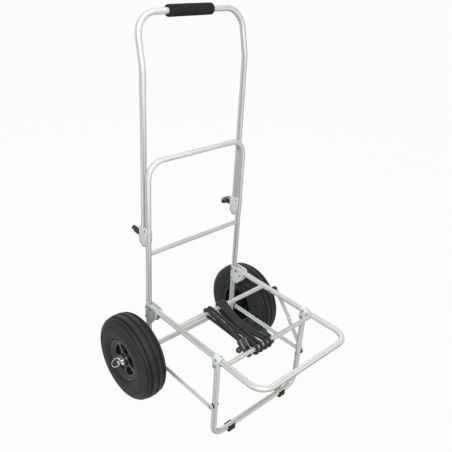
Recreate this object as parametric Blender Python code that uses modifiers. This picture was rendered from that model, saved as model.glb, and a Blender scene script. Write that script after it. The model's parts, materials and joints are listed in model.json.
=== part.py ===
"""Folding surfcasting trolley: an aluminium back frame on two pneumatic wheels, a telescopic
handle, a rod and tackle platform that folds up, and a leg frame tied to the axle by two struts.

Metres, +Z up. The platform points to -Y and the handle leans to +Y. The origin is under the
middle of the trolley, on the ground.
"""

import math

import bmesh
import bpy
from mathutils import Matrix, Vector

# Tubes, sheet and the gap between pieces that touch
TUBE = 0.016
TUBE_WALL = 0.0015
BAR = 0.013
BAR_WALL = 0.0012
SHEET = 0.0018
SEAT = 0.0003
HALF_WIDTH = 0.167

# Wheels
TYRE_DIAMETER = 0.260
TYRE_WIDTH = 0.082
TYRE_WALL = 0.006
TYRE_CLEARANCE = 0.0031
TREAD_GROOVE = 0.0025
BEAD_RADIUS = 0.0585
RIM_RADIUS = 0.0630
RIM_WIDTH = 0.067
RIM_WALL = 0.0045
HUB_RADIUS = 0.0165
HUB_REACH = 0.035
HUB_TAPER = 0.002
SPOKES = 5
WEB_THICKNESS = 0.009
WEB_OFFSET = 0.012

# Axle
ROD = 0.010
AXLE_TUBE = 0.016
COLLAR_RADIUS = 0.0095
COLLAR_LENGTH = 0.0065
WASHER_RADIUS = 0.013
WASHER_THICKNESS = 0.002
PIN_INSET = 0.006
PIN = 0.0045
PIN_HEAD_RADIUS = 0.0052
PIN_HEAD_HEIGHT = 0.011
RING_RADIUS = 0.014
RING_WIRE = 0.0024
RING_TILT = math.radians(58)

# Back frame
BACK_TOP = 0.7155
BACK_CORNER = 0.046
BACK_FOOT = 0.012
BACK_BAR_HEIGHT = 0.451

# Telescopic handle
HANDLE_OFFSET = 0.019
HANDLE_FOOT = 0.4705
HANDLE_BEND = 0.945
HANDLE_TOP = 1.0665
HANDLE_LEAN = math.radians(12)
HANDLE_CORNER = 0.054
HANDLE_BEND_RADIUS = 0.120
GRIP_LENGTH = 0.141
GRIP_SHIFT = -0.007
GRIP_DIAMETER = 0.0295

# Clamp brackets and their knobs
CLAMP_TOP = 0.531
CLAMP_HEIGHT = 0.052
CLAMP_NOTCH = 0.010
CLAMP_NOTCH_DEPTH = 0.003
CLAMP_CHAMFER = 0.005
CLAMP_SCREW_DROP = 0.028
CLAMP_SCREW = 0.006
CLAMP_NUT_RADIUS = 0.0062
CLAMP_NUT_LENGTH = 0.0065
KNOB_START = 0.0105
KNOB_LENGTH = 0.028
KNOB_SPAN = 0.034
KNOB_HUB_RADIUS = 0.0085
KNOB_THICKNESS = 0.0115
KNOB_TURNS = {"left": math.radians(56), "right": math.radians(-8)}

# Platform and its hinge brackets
RAIL_HEIGHT = 0.284
RAIL_PIVOT = 0.020
RAIL_TAIL = 0.008
PLATFORM_REACH = 0.452
PLATFORM_CORNER = 0.042
REAR_BAR_REACH = 0.133
FRONT_BAR_AHEAD = 0.030
BRACKET_REACH = 0.050
BRACKET_RISE = 0.0125
BRACKET_DROP = 0.042
STOP_PIN_REACH = 0.037
STOP_PIN_RADIUS = 0.003
STOP_PIN_NECK = 0.0019
STOP_PIN_HEAD_RADIUS = 0.0034
RIVET_RADIUS = 0.0024
RIVET_HEAD_RADIUS = 0.0042
RIVET_HEAD = 0.0014
BOLT_RADIUS = 0.003
BOLT_HEAD_RADIUS = 0.0055
BOLT_HEAD = 0.0022

# Leg frame and its clips
LEG_REACH = 0.296
LEG_PIVOT_DROP = 0.019
LEG_TOP = 0.0065
LEG_CORNER = 0.037
SOLE = 0.005
FOOT_OFFSET = 0.104
FOOT_LENGTH = 0.024
FOOT_WALL = 0.0028
CLIP_LENGTH = 0.023
CLIP_AHEAD = 0.002
CLIP_CHEEK = 0.0095

# Struts between the leg and the axle
STRUT_HEIGHT = 0.129
STRUT_WIDTH = 0.0155
STRUT_THICKNESS = 0.0025
STRUT_STANDOFF = 0.0054
STRUT_EYE_RADIUS = 0.0125
STRUT_SLOT = 0.0062
STRUT_PLAY = 0.0013

# Folding stay on one side
STAY_REACH = 0.165
STAY_WIDTH = 0.015
STAY_THICKNESS = 0.002
STAY_OVER_CENTRE = 0.003
STAY_SPACER_RADIUS = 0.0075

# Elastic cord wound round the two platform bars
CORD = 0.009
CORD_SEAT = 0.0009
CORD_DRIFT = 0.003
REAR_TURNS = (-0.061, -0.047, -0.015, -0.005, 0.005)
FRONT_TURNS = (-0.066, -0.050, -0.033, -0.0185)
MOST_SAG = 0.012
MOST_PULL = 0.009
FIRST_HOOK = -0.084
LAST_HOOK = -0.002
SHANK_ANGLES = {"first": math.radians(40), "last": math.radians(6)}
HOOK_WIDTH = 0.0225
HOOK_THICKNESS = 0.005
HOOK_LENGTH = 0.033
HOOK_GRIP = math.radians(130)
HOOK_BLOCK_START = 0.017
HOOK_BLOCK_WALL = 0.0022
CORD_DEPTH = 0.004
CORD_DROP = math.radians(8)
THUMB_TAB = 0.025
THUMB_TAB_WIDTH = 0.012
THUMB_TAB_THICKNESS = 0.009

# Facets
TUBE_SIDES = 12
BORE_SIDES = 8
FASTENER_SIDES = 8
BUSH_STEPS = 12
WHEEL_STEPS = 24
GRIP_STEPS = 16
ARC_STEP = math.radians(22.5)

# Sizes that follow from the ones above
WHEEL_RADIUS = TYRE_DIAMETER / 2
AXLE_HEIGHT = WHEEL_RADIUS
AXLE_Y = (PLATFORM_REACH + TUBE / 2 - WHEEL_RADIUS) / 2
TUBE_RADIUS = TUBE / 2
BAR_RADIUS = BAR / 2
TUBE_FACE = HALF_WIDTH + TUBE_RADIUS
PLATE_INNER = TUBE_RADIUS + SEAT
PLATE_OUTER = PLATE_INNER + SHEET
STRUT_INNER = TUBE_FACE + STRUT_STANDOFF
STRUT_OUTER = STRUT_INNER + STRUT_THICKNESS
HALF_TRACK = STRUT_OUTER + TYRE_CLEARANCE + TYRE_WIDTH / 2
LOWER_STAY_INNER = STRUT_OUTER + SEAT
LOWER_STAY_OUTER = LOWER_STAY_INNER + STAY_THICKNESS
UPPER_STAY_INNER = LOWER_STAY_OUTER + SEAT
UPPER_STAY_OUTER = UPPER_STAY_INNER + STAY_THICKNESS
HUB_INNER = STRUT_OUTER + SEAT
HUB_OUTER = HALF_TRACK + HUB_REACH
PIN_X = HUB_OUTER + SEAT + WASHER_THICKNESS + SEAT + PIN_HEAD_RADIUS
AXLE_END = PIN_X + PIN_INSET
LEG_PIVOT_HEIGHT = RAIL_HEIGHT - LEG_PIVOT_DROP
LEG_BAR_HEIGHT = TUBE_RADIUS + SOLE
FRONT_BAR_REACH = LEG_REACH + FRONT_BAR_AHEAD
HANDLE_TOP_OFFSET = HANDLE_OFFSET + (HANDLE_TOP - HANDLE_BEND) * math.tan(HANDLE_LEAN)
CLAMP_BACK = HANDLE_OFFSET + PLATE_OUTER
CLAMP_SCREW_HEIGHT = CLAMP_TOP - CLAMP_SCREW_DROP
HOOK_BLOCK = CORD + 2 * (SEAT + HOOK_BLOCK_WALL)
HOOK_BLOCK_REACH = BAR_RADIUS + SEAT + HOOK_THICKNESS / 2
SIDES = {"left": -1, "right": 1}

PARTS = "Surfcasting trolley"
CUTTERS = "Cutters"


def at(x, forward, height):
    """A point given by its distance in front of the axle."""
    return Vector((x, AXLE_Y - forward, height))


def clear_scene():
    for obj in list(bpy.data.objects):
        bpy.data.objects.remove(obj, do_unlink=True)
    for name in (PARTS, CUTTERS):
        bpy.context.scene.collection.children.link(bpy.data.collections.new(name))


def make_material(name, colour, roughness, metallic):
    material = bpy.data.materials.new(name)
    material.use_nodes = True
    shader = material.node_tree.nodes["Principled BSDF"]
    shader.inputs["Base Color"].default_value = (*colour, 1)
    shader.inputs["Roughness"].default_value = roughness
    shader.inputs["Metallic"].default_value = metallic
    return material


def make_materials():
    looks = {
        "aluminium": ((0.62, 0.62, 0.59), 0.38, 0.9),
        "drawn_aluminium": ((0.55, 0.55, 0.52), 0.45, 0.9),
        "zinc": ((0.60, 0.66, 0.70), 0.35, 0.85),
        "flat_bar": ((0.56, 0.62, 0.64), 0.40, 0.8),
        "steel": ((0.75, 0.76, 0.78), 0.20, 1.0),
        "tyre": ((0.035, 0.035, 0.032), 0.85, 0.0),
        "rim": ((0.020, 0.023, 0.028), 0.35, 0.0),
        "foam": ((0.022, 0.024, 0.023), 0.95, 0.0),
        "black_plastic": ((0.018, 0.019, 0.021), 0.35, 0.0),
        "rubber": ((0.025, 0.025, 0.025), 0.80, 0.0),
        "cord": ((0.015, 0.016, 0.018), 0.90, 0.0),
    }
    return {name: make_material(name, *look) for name, look in looks.items()}


def into(collection, obj):
    bpy.data.collections[collection].objects.link(obj)
    return obj


def shade(mesh):
    mesh.shade_smooth()
    mesh.set_sharp_from_angle(angle=math.radians(35))


def as_mesh(obj):
    """The object as a welded mesh object with its faces pointing out, in its place."""
    bpy.context.view_layer.update()
    evaluated = obj.evaluated_get(bpy.context.evaluated_depsgraph_get())
    mesh = bpy.data.meshes.new_from_object(evaluated)
    mesh.transform(obj.matrix_world)
    name = obj.name
    bpy.data.objects.remove(obj, do_unlink=True)
    cage = bmesh.new()
    cage.from_mesh(mesh)
    bmesh.ops.remove_doubles(cage, verts=cage.verts, dist=1e-6)
    bmesh.ops.recalc_face_normals(cage, faces=cage.faces)
    cage.to_mesh(mesh)
    cage.free()
    shade(mesh)
    return into(PARTS, bpy.data.objects.new(name, mesh))


def finished(obj, material):
    obj.data.materials.clear()
    obj.data.materials.append(MATERIALS[material])
    return obj


def combine(obj, other, operation):
    """Adds or takes away another mesh object, which becomes a hidden helper."""
    for collection in list(other.users_collection):
        collection.objects.unlink(other)
    into(CUTTERS, other)
    other.name = f"{obj.name}_{operation.lower()}"
    other.hide_render = True
    other.display_type = "WIRE"
    modifier = obj.modifiers.new(operation.title(), "BOOLEAN")
    modifier.operation = operation
    modifier.solver = "EXACT"
    modifier.object = other
    return obj


def settled(obj):
    """The object with its Booleans applied."""
    return as_mesh(obj)


def rounded_path(corners, radii):
    """The corners joined by straight runs and arcs, as points."""
    points = [corners[0]]
    for before, corner, after, radius in zip(corners, corners[1:], corners[2:], radii):
        back = (before - corner).normalized()
        ahead = (after - corner).normalized()
        turn = math.pi - back.angle(ahead)
        reach = radius * math.tan(turn / 2)
        centre = corner + (back + ahead).normalized() * radius / math.cos(turn / 2)
        start = corner + back * reach - centre
        axis = back.cross(ahead).normalized()
        steps = max(2, round(turn / ARC_STEP))
        for step in range(steps + 1):
            turned = Matrix.Rotation(-turn * step / steps, 3, axis) @ start
            points.append(centre + turned)
    points.append(corners[-1])
    return points


def sweep(name, points, radius, sides=TUBE_SIDES):
    """A round bar along the points."""
    curve = bpy.data.curves.new(name, "CURVE")
    curve.dimensions = "3D"
    curve.bevel_depth = radius
    curve.bevel_resolution = (sides - 4) // 2
    curve.use_fill_caps = True
    spline = curve.splines.new("POLY")
    spline.points.add(len(points) - 1)
    for point, place in zip(spline.points, points):
        point.co = (*place, 1)
    return as_mesh(into(PARTS, bpy.data.objects.new(name, curve)))


def bent_tube(name, corners, radii, wall=TUBE_WALL):
    """A tube of the frame, open at both ends."""
    points = rounded_path(corners, radii)
    tube = sweep(name, points, TUBE_RADIUS)
    past = 2 * TUBE
    points[0] = points[0] + (points[0] - points[1]).normalized() * past
    points[-1] = points[-1] + (points[-1] - points[-2]).normalized() * past
    bore = sweep(f"{name}_bore", points, TUBE_RADIUS - wall, BORE_SIDES)
    return combine(tube, bore, "DIFFERENCE")


AXES = {
    "X": Matrix.Rotation(math.radians(90), 4, "Y"),
    "Y": Matrix.Rotation(math.radians(-90), 4, "X"),
    "Z": Matrix.Identity(4),
}


def turned(name, profile, centre, axis="X", steps=BUSH_STEPS, ring=False):
    """A turned piece: the profile holds (radius, distance along the axis) pairs."""
    mesh = bpy.data.meshes.new(name)
    points = [(radius, 0, along) for radius, along in profile]
    edges = [(i, i + 1) for i in range(len(points) - 1)]
    if ring:
        edges.append((len(points) - 1, 0))
    mesh.from_pydata(points, edges, [])
    obj = into(PARTS, bpy.data.objects.new(name, mesh))
    screw = obj.modifiers.new("Turn", "SCREW")
    screw.steps = steps
    screw.render_steps = steps
    screw.use_merge_vertices = True
    screw.merge_threshold = 1e-5
    obj.matrix_world = Matrix.Translation(centre) @ AXES[axis]
    return as_mesh(obj)


def bush(name, outer, inner, start, end, centre, axis="X", steps=BUSH_STEPS):
    """A plain ring between two distances along its axis."""
    profile = [(outer, end), (outer, start), (inner, start), (inner, end)]
    return turned(name, profile, centre, axis, steps, ring=True)


def rod(name, radius, start, end, centre, axis="X", steps=BUSH_STEPS):
    profile = [(0, end), (radius, end), (radius, start), (0, start)]
    return turned(name, profile, centre, axis, steps)


def headed_pin(name, low, high, centre, radius, head_radius, head):
    """A shank along X with a head at each end: a rivet, or a bolt with its nut."""
    crown = head_radius * 0.75
    profile = [
        (0, high + head),
        (crown, high + head),
        (head_radius, high),
        (radius, high),
        (radius, low),
        (head_radius, low),
        (crown, low - head),
        (0, low - head),
    ]
    return turned(name, profile, centre, "X", FASTENER_SIDES)


def circle(centre, radius, steps=BUSH_STEPS):
    turn = 2 * math.pi / steps
    return [
        (centre[0] + radius * math.cos(i * turn), centre[1] + radius * math.sin(i * turn))
        for i in range(steps)
    ]


def arc(centre, radius, first, last, steps=6):
    """Points on an arc between two angles in degrees."""
    angles = [math.radians(first + (last - first) * i / steps) for i in range(steps + 1)]
    return [(centre[0] + radius * math.cos(a), centre[1] + radius * math.sin(a)) for a in angles]


PLANES = {
    "YZ": Matrix(((0, 0, 1, 0), (1, 0, 0, 0), (0, 1, 0, 0), (0, 0, 0, 1))),
    "XY": Matrix.Identity(4),
    "XZ": Matrix(((1, 0, 0, 0), (0, 0, -1, 0), (0, 1, 0, 0), (0, 0, 0, 1))),
}


def plate(name, outlines, thickness, plane, centre, bevel=0):
    """A flat piece: the first outline is its edge and the others are holes."""
    curve = bpy.data.curves.new(name, "CURVE")
    curve.dimensions = "2D"
    curve.fill_mode = "BOTH"
    curve.extrude = thickness / 2
    for outline in outlines:
        spline = curve.splines.new("POLY")
        spline.points.add(len(outline) - 1)
        spline.use_cyclic_u = True
        for point, place in zip(spline.points, outline):
            point.co = (*place, 0, 1)
    obj = into(PARTS, bpy.data.objects.new(name, curve))
    obj.matrix_world = Matrix.Translation(centre) @ PLANES[plane]
    obj = as_mesh(obj)
    if bevel:
        modifier = obj.modifiers.new("Edges", "BEVEL")
        modifier.width = bevel
        modifier.segments = 1
        modifier.limit_method = "ANGLE"
        modifier.angle_limit = math.radians(40)
    return obj


def side_point(forward, height):
    """A point of a YZ outline, drawn from the axle on the ground."""
    return (-forward, height)


def side_plate(name, outlines, low, high, bevel=0):
    """A plate that faces sideways, between two distances from the middle of the trolley."""
    centre = Vector(((low + high) / 2, AXLE_Y, 0))
    return plate(name, outlines, abs(high - low), "YZ", centre, bevel)


def drill(obj, holes):
    """Cuts round holes, each given as (place, axis, radius, length)."""
    cage = bmesh.new()
    for place, axis, radius, length in holes:
        bmesh.ops.create_cone(
            cage,
            cap_ends=True,
            segments=TUBE_SIDES if radius > ROD / 2 else FASTENER_SIDES,
            radius1=radius,
            radius2=radius,
            depth=length,
            matrix=Matrix.Translation(place) @ AXES[axis],
        )
    mesh = bpy.data.meshes.new("holes")
    cage.to_mesh(mesh)
    cage.free()
    return combine(obj, into(PARTS, bpy.data.objects.new("holes", mesh)), "DIFFERENCE")


def through_both_tubes(forward, height, radius):
    """Holes along X through the left and the right tube of a frame."""
    length = 2 * TUBE
    return [(at(side * HALF_WIDTH, forward, height), "X", radius, length) for side in (-1, 1)]


def body_joint(name, place, parts, parent=None):
    """An empty on the joint's axis that carries the pieces of one moving body."""
    pivot = into(PARTS, bpy.data.objects.new(name, None))
    pivot.empty_display_size = 0.02
    pivot.location = place
    bpy.context.view_layer.update()
    for part in parts:
        part.parent = pivot
        part.matrix_parent_inverse = pivot.matrix_world.inverted()
    if parent:
        pivot.parent = parent
        pivot.matrix_parent_inverse = parent.matrix_world.inverted()
    return pivot


def crossbar(name, forward, height, upright):
    """A bar between the two side tubes, with its ends shaped to them."""
    centre = at(0, forward, height)
    bar = bush(name, BAR_RADIUS, BAR_RADIUS - BAR_WALL, -HALF_WIDTH, HALF_WIDTH, centre)
    axis = "Z" if upright else "Y"
    ends = [
        (at(side * HALF_WIDTH, forward, height), axis, TUBE_RADIUS + SEAT, 3 * BAR)
        for side in (-1, 1)
    ]
    return finished(drill(bar, ends), "drawn_aluminium")


def make_back_frame():
    low = AXLE_HEIGHT - BACK_FOOT
    corners = [
        at(-HALF_WIDTH, 0, low),
        at(-HALF_WIDTH, 0, BACK_TOP),
        at(HALF_WIDTH, 0, BACK_TOP),
        at(HALF_WIDTH, 0, low),
    ]
    frame = bent_tube("back_frame", corners, (BACK_CORNER, BACK_CORNER))
    holes = through_both_tubes(0, AXLE_HEIGHT, ROD / 2 + SEAT)
    for height in bracket_rivet_heights():
        holes += through_both_tubes(0, height, RIVET_RADIUS + SEAT)
    drill(frame, holes)
    return [
        finished(frame, "aluminium"),
        crossbar("back_crossbar", 0, BACK_BAR_HEIGHT, upright=True),
    ]


def make_axle():
    centre = at(0, 0, AXLE_HEIGHT)
    bore = ROD / 2 + SEAT
    axle_rod = rod("axle_rod", ROD / 2, -AXLE_END, AXLE_END, centre)
    pin_holes = [
        (at(side * PIN_X, 0, AXLE_HEIGHT), "Z", PIN / 2 + SEAT, 2 * ROD) for side in (-1, 1)
    ]
    drill(axle_rod, pin_holes)
    collar_end = HALF_WIDTH - TUBE_RADIUS - SEAT
    collar_start = collar_end - COLLAR_LENGTH
    tube_end = collar_start - SEAT
    pieces = [
        finished(axle_rod, "steel"),
        finished(
            bush("axle_tube", AXLE_TUBE / 2, bore, -tube_end, tube_end, centre), "drawn_aluminium"
        ),
    ]
    for name, side in SIDES.items():
        collar = bush(
            f"axle_collar_{name}", COLLAR_RADIUS, bore,
            *sorted((side * collar_start, side * collar_end)), centre,
        )
        spacer = bush(
            f"axle_spacer_{name}", COLLAR_RADIUS, bore,
            *sorted((side * (TUBE_FACE + SEAT), side * (STRUT_INNER - SEAT))), centre,
        )
        washer = bush(
            f"wheel_washer_{name}", WASHER_RADIUS, bore,
            *sorted((side * (HUB_OUTER + SEAT), side * (HUB_OUTER + SEAT + WASHER_THICKNESS))),
            centre,
        )
        pieces += [finished(piece, "steel") for piece in (collar, spacer, washer)]
    return pieces


def bracket_rivet_heights():
    """Heights of the two rivets that hold a hinge bracket to the back frame."""
    return (RAIL_HEIGHT - 0.002, RAIL_HEIGHT - BRACKET_DROP + 0.008)


def channel(name, side, front, back, low, high, wrap_behind):
    """Sheet folded round a tube: two side plates joined by a round web."""
    x = side * HALF_WIDTH
    middle = (x, 0)
    if wrap_behind:
        outer = arc(middle, PLATE_OUTER, 0, 180)
        inner = arc(middle, PLATE_INNER, 180, 0)
        edge = -front
    else:
        outer = arc(middle, PLATE_OUTER, 180, 360)
        inner = arc(middle, PLATE_INNER, 360, 180)
        edge = back
    tips = [
        (outer[-1][0], edge),
        (inner[0][0], edge),
    ]
    ends = [
        (inner[-1][0], edge),
        (outer[0][0], edge),
    ]
    section = outer + tips + inner + ends
    centre = Vector((0, AXLE_Y, (low + high) / 2))
    return plate(name, [section], high - low, "XY", centre)


def trim(obj, outline, side):
    """Keeps what lies inside a side outline."""
    x = side * HALF_WIDTH
    keeper = side_plate("trim", [outline], x - 2 * TUBE, x + 2 * TUBE)
    return combine(obj, keeper, "INTERSECT")


def make_hinge_bracket(name, side):
    low = RAIL_HEIGHT - BRACKET_DROP - 0.002
    high = RAIL_HEIGHT + BRACKET_RISE
    bracket = channel(
        f"hinge_bracket_{name}", side, BRACKET_REACH + 0.001, 0, low - SHEET, high + SHEET,
        wrap_behind=True,
    )
    outline = [
        side_point(-2 * TUBE_RADIUS, high - 0.006),
        side_point(-0.004, high - 0.003),
        side_point(0.010, high),
        side_point(BRACKET_REACH - 0.004, high),
        side_point(BRACKET_REACH, high - 0.008),
        side_point(BRACKET_REACH, RAIL_HEIGHT - 0.015),
        side_point(0.030, low + 0.003),
        side_point(0.024, low),
        side_point(0.002, low),
        side_point(-2 * TUBE_RADIUS, low + 0.006),
    ]
    trim(bracket, outline, side)
    x = side * HALF_WIDTH
    length = 4 * TUBE_RADIUS
    holes = [
        (at(x, 0, height), "X", RIVET_RADIUS + SEAT, length) for height in bracket_rivet_heights()
    ]
    holes.append((at(x, RAIL_PIVOT, RAIL_HEIGHT), "X", BOLT_RADIUS + SEAT, length))
    holes.append((at(x, STOP_PIN_REACH, stop_pin_height()), "X", STOP_PIN_NECK + SEAT, length))
    drill(bracket, holes)
    pieces = [finished(bracket, "zinc")]
    low_face = x - PLATE_OUTER - SEAT
    high_face = x + PLATE_OUTER + SEAT
    for place, height in zip(("upper", "lower"), bracket_rivet_heights()):
        rivet = headed_pin(
            f"hinge_rivet_{place}_{name}", low_face, high_face, at(0, 0, height),
            RIVET_RADIUS, RIVET_HEAD_RADIUS, RIVET_HEAD,
        )
        pieces.append(finished(rivet, "steel"))
    bolt = headed_pin(
        f"platform_bolt_{name}", low_face, high_face, at(0, RAIL_PIVOT, RAIL_HEIGHT),
        BOLT_RADIUS, BOLT_HEAD_RADIUS, BOLT_HEAD,
    )
    stop = stop_pin(name, x)
    return pieces + [finished(bolt, "steel"), finished(stop, "steel")]


def stop_pin_height():
    """The pin lies just under the platform tube."""
    return RAIL_HEIGHT - TUBE_RADIUS - SEAT - STOP_PIN_RADIUS


def stop_pin(name, x):
    """A thick pin between the bracket's plates, with thin riveted ends."""
    shoulder = PLATE_INNER - SEAT
    face = PLATE_OUTER + SEAT
    end = face + RIVET_HEAD
    half = [
        (0, end), (STOP_PIN_HEAD_RADIUS * 0.7, end), (STOP_PIN_HEAD_RADIUS, face),
        (STOP_PIN_NECK, face), (STOP_PIN_NECK, shoulder), (STOP_PIN_RADIUS, shoulder),
    ]
    profile = half + [(radius, -along) for radius, along in reversed(half)]
    centre = at(x, STOP_PIN_REACH, stop_pin_height())
    return turned(f"stop_pin_{name}", profile, centre, "X", FASTENER_SIDES)


def make_clamp_bracket(name, side):
    """A sleeve of folded sheet round the back tube and the handle tube, open in two bays."""
    x = side * HALF_WIDTH
    low = CLAMP_TOP - CLAMP_HEIGHT
    front = arc((x, 0), PLATE_OUTER, 180, 360)
    edge = front + [(x + PLATE_OUTER, CLAMP_BACK), (x - PLATE_OUTER, CLAMP_BACK)]
    divide = HANDLE_OFFSET / 2
    half_sheet = SHEET / 2
    front_bay = arc((x, 0), PLATE_INNER, 180, 360)
    front_bay += [(x + PLATE_INNER, divide - half_sheet), (x - PLATE_INNER, divide - half_sheet)]
    back_wall = CLAMP_BACK - SHEET
    back_bay = [
        (x - PLATE_INNER, divide + half_sheet), (x + PLATE_INNER, divide + half_sheet),
        (x + PLATE_INNER, back_wall), (x - PLATE_INNER, back_wall),
    ]
    centre = Vector((0, AXLE_Y, (low + CLAMP_TOP) / 2))
    sleeve = plate(
        f"clamp_bracket_{name}", [edge, front_bay, back_bay], CLAMP_HEIGHT + 2 * SHEET, "XY", centre
    )
    outline = [
        side_point(2 * TUBE_RADIUS, CLAMP_TOP),
        side_point(2 * TUBE_RADIUS, low + CLAMP_NOTCH),
        side_point(-CLAMP_NOTCH_DEPTH, low + CLAMP_NOTCH),
        side_point(-CLAMP_NOTCH_DEPTH, low),
        side_point(CLAMP_CHAMFER - CLAMP_BACK, low),
        side_point(-CLAMP_BACK - SHEET, low + CLAMP_CHAMFER),
        side_point(-CLAMP_BACK - SHEET, CLAMP_TOP),
    ]
    trim(sleeve, outline, side)
    nut = rod(
        "clamp_nut", CLAMP_NUT_RADIUS, CLAMP_BACK - SHEET / 2, CLAMP_BACK + CLAMP_NUT_LENGTH,
        at(x, 0, CLAMP_SCREW_HEIGHT), "Y", 6,
    )
    combine(sleeve, nut, "UNION")
    screw_hole = (
        at(x, -CLAMP_BACK, CLAMP_SCREW_HEIGHT), "Y", CLAMP_SCREW / 2 + SEAT, 3 * CLAMP_NUT_LENGTH
    )
    drill(sleeve, [screw_hole])
    return finished(sleeve, "zinc")


def make_clamp_knob(name, side):
    """A wing knob and its screw, seen from behind the handle."""
    x = side * HALF_WIDTH
    start = CLAMP_BACK + KNOB_START
    tip = HANDLE_OFFSET + TUBE_RADIUS + SEAT
    socket = KNOB_LENGTH * 0.45
    centre = at(x, 0, CLAMP_SCREW_HEIGHT)
    screw = rod(
        f"clamp_screw_{name}", CLAMP_SCREW / 2, tip, start + socket - SEAT, centre, "Y",
        FASTENER_SIDES,
    )
    half = KNOB_SPAN / 2
    middle = KNOB_LENGTH * 0.62
    reach = KNOB_LENGTH - middle
    outline = [(half * u, middle + reach * v) for u, v in circle((0, 0), 1, BUSH_STEPS)]
    wings = plate("wings", [outline], KNOB_THICKNESS, "XY", Vector((0, 0, 0)), KNOB_THICKNESS / 4)
    hub_profile = [
        (0, KNOB_LENGTH * 0.92),
        (KNOB_HUB_RADIUS * 0.60, KNOB_LENGTH * 0.88),
        (KNOB_HUB_RADIUS, KNOB_LENGTH * 0.60),
        (KNOB_HUB_RADIUS * 0.94, 0),
        (0, 0),
    ]
    knob = turned(f"clamp_knob_{name}", hub_profile, Vector((0, 0, 0)), "Y", TUBE_SIDES)
    combine(knob, settled(wings), "UNION")
    bore = (Vector((0, 0, 0)), "Y", CLAMP_SCREW / 2 + SEAT, 2 * socket)
    drill(knob, [bore])
    knob = settled(knob)
    turn = Matrix.Rotation(KNOB_TURNS[name], 4, "Y")
    knob.data.transform(Matrix.Translation(centre + Vector((0, start, 0))) @ turn)
    pivot = body_joint(f"clamp_pivot_{name}", centre, [])
    for part in (screw, knob):
        part.parent = pivot
        part.matrix_parent_inverse = pivot.matrix_world.inverted()
    return finished(screw, "steel"), finished(knob, "black_plastic")


def make_handle():
    top = at(HALF_WIDTH, -HANDLE_TOP_OFFSET, HANDLE_TOP)
    corners = [
        at(-HALF_WIDTH, -HANDLE_OFFSET, HANDLE_FOOT),
        at(-HALF_WIDTH, -HANDLE_OFFSET, HANDLE_BEND),
        Vector((-top.x, top.y, top.z)),
        top,
        at(HALF_WIDTH, -HANDLE_OFFSET, HANDLE_BEND),
        at(HALF_WIDTH, -HANDLE_OFFSET, HANDLE_FOOT),
    ]
    radii = (HANDLE_BEND_RADIUS, HANDLE_CORNER, HANDLE_CORNER, HANDLE_BEND_RADIUS)
    tube = finished(bent_tube("handle_tube", corners, radii), "aluminium")
    half = GRIP_LENGTH / 2
    outer = GRIP_DIAMETER / 2
    inner = TUBE_RADIUS + SEAT
    soft = 0.004
    profile = [
        (inner, half),
        (outer - soft, half),
        (outer - soft * 0.3, half - soft * 0.3),
        (outer, half - soft),
        (outer, soft - half),
        (outer - soft * 0.3, soft * 0.3 - half),
        (outer - soft, -half),
        (inner, -half),
    ]
    middle = at(GRIP_SHIFT, -HANDLE_TOP_OFFSET, HANDLE_TOP)
    grip = finished(turned("handle_grip", profile, middle, "X", GRIP_STEPS, ring=True), "foam")
    return body_joint("handle_slide", at(0, -HANDLE_OFFSET, HANDLE_FOOT), [tube, grip])


def make_platform_frame():
    rear = RAIL_PIVOT - RAIL_TAIL
    corners = [
        at(-HALF_WIDTH, rear, RAIL_HEIGHT),
        at(-HALF_WIDTH, PLATFORM_REACH, RAIL_HEIGHT),
        at(HALF_WIDTH, PLATFORM_REACH, RAIL_HEIGHT),
        at(HALF_WIDTH, rear, RAIL_HEIGHT),
    ]
    frame = bent_tube("platform_frame", corners, (PLATFORM_CORNER, PLATFORM_CORNER))
    holes = through_both_tubes(RAIL_PIVOT, RAIL_HEIGHT, BOLT_RADIUS + SEAT)
    stay_hole = (at(HALF_WIDTH, STAY_REACH, RAIL_HEIGHT), "X", BOLT_RADIUS + SEAT, 2 * TUBE)
    drill(frame, holes + [stay_hole])
    return [
        finished(frame, "aluminium"),
        crossbar("rear_crossbar", REAR_BAR_REACH, RAIL_HEIGHT, upright=False),
        crossbar("front_crossbar", FRONT_BAR_REACH, RAIL_HEIGHT, upright=False),
    ]


def make_leg_clip(name, side):
    """A saddle of folded sheet over the platform tube, with the leg's pivot between its cheeks."""
    x = side * HALF_WIDTH
    low = LEG_PIVOT_HEIGHT - 2 * CLIP_CHEEK
    outer = arc((x, RAIL_HEIGHT), PLATE_OUTER, 0, 180)
    inner = arc((x, RAIL_HEIGHT), PLATE_INNER, 180, 0)
    section = outer + [(outer[-1][0], low), (inner[0][0], low)] + inner
    section += [(inner[-1][0], low), (outer[0][0], low)]
    reach = LEG_REACH + CLIP_AHEAD
    centre = Vector((0, AXLE_Y - reach, 0))
    clip = plate(f"leg_clip_{name}", [section], 2 * CLIP_LENGTH, "XZ", centre)
    rear = side_point(reach - CLIP_LENGTH / 2, RAIL_HEIGHT - TUBE_RADIUS)
    front = side_point(reach + CLIP_LENGTH / 2, RAIL_HEIGHT - TUBE_RADIUS)
    cheek = arc(side_point(LEG_REACH, LEG_PIVOT_HEIGHT), CLIP_CHEEK, 0, -180, 8)
    outline = [
        (front[0], RAIL_HEIGHT + TUBE),
        front,
        *reversed(cheek),
        rear,
        (rear[0], RAIL_HEIGHT + TUBE),
    ]
    trim(clip, outline, side)
    drill(clip, [(at(x, LEG_REACH, LEG_PIVOT_HEIGHT), "X", BOLT_RADIUS + SEAT, 2 * TUBE)])
    bolt = headed_pin(
        f"leg_bolt_{name}", x - PLATE_OUTER - SEAT, x + PLATE_OUTER + SEAT,
        at(0, LEG_REACH, LEG_PIVOT_HEIGHT), BOLT_RADIUS, BOLT_HEAD_RADIUS, BOLT_HEAD,
    )
    return [finished(clip, "zinc"), finished(bolt, "steel")]


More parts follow.
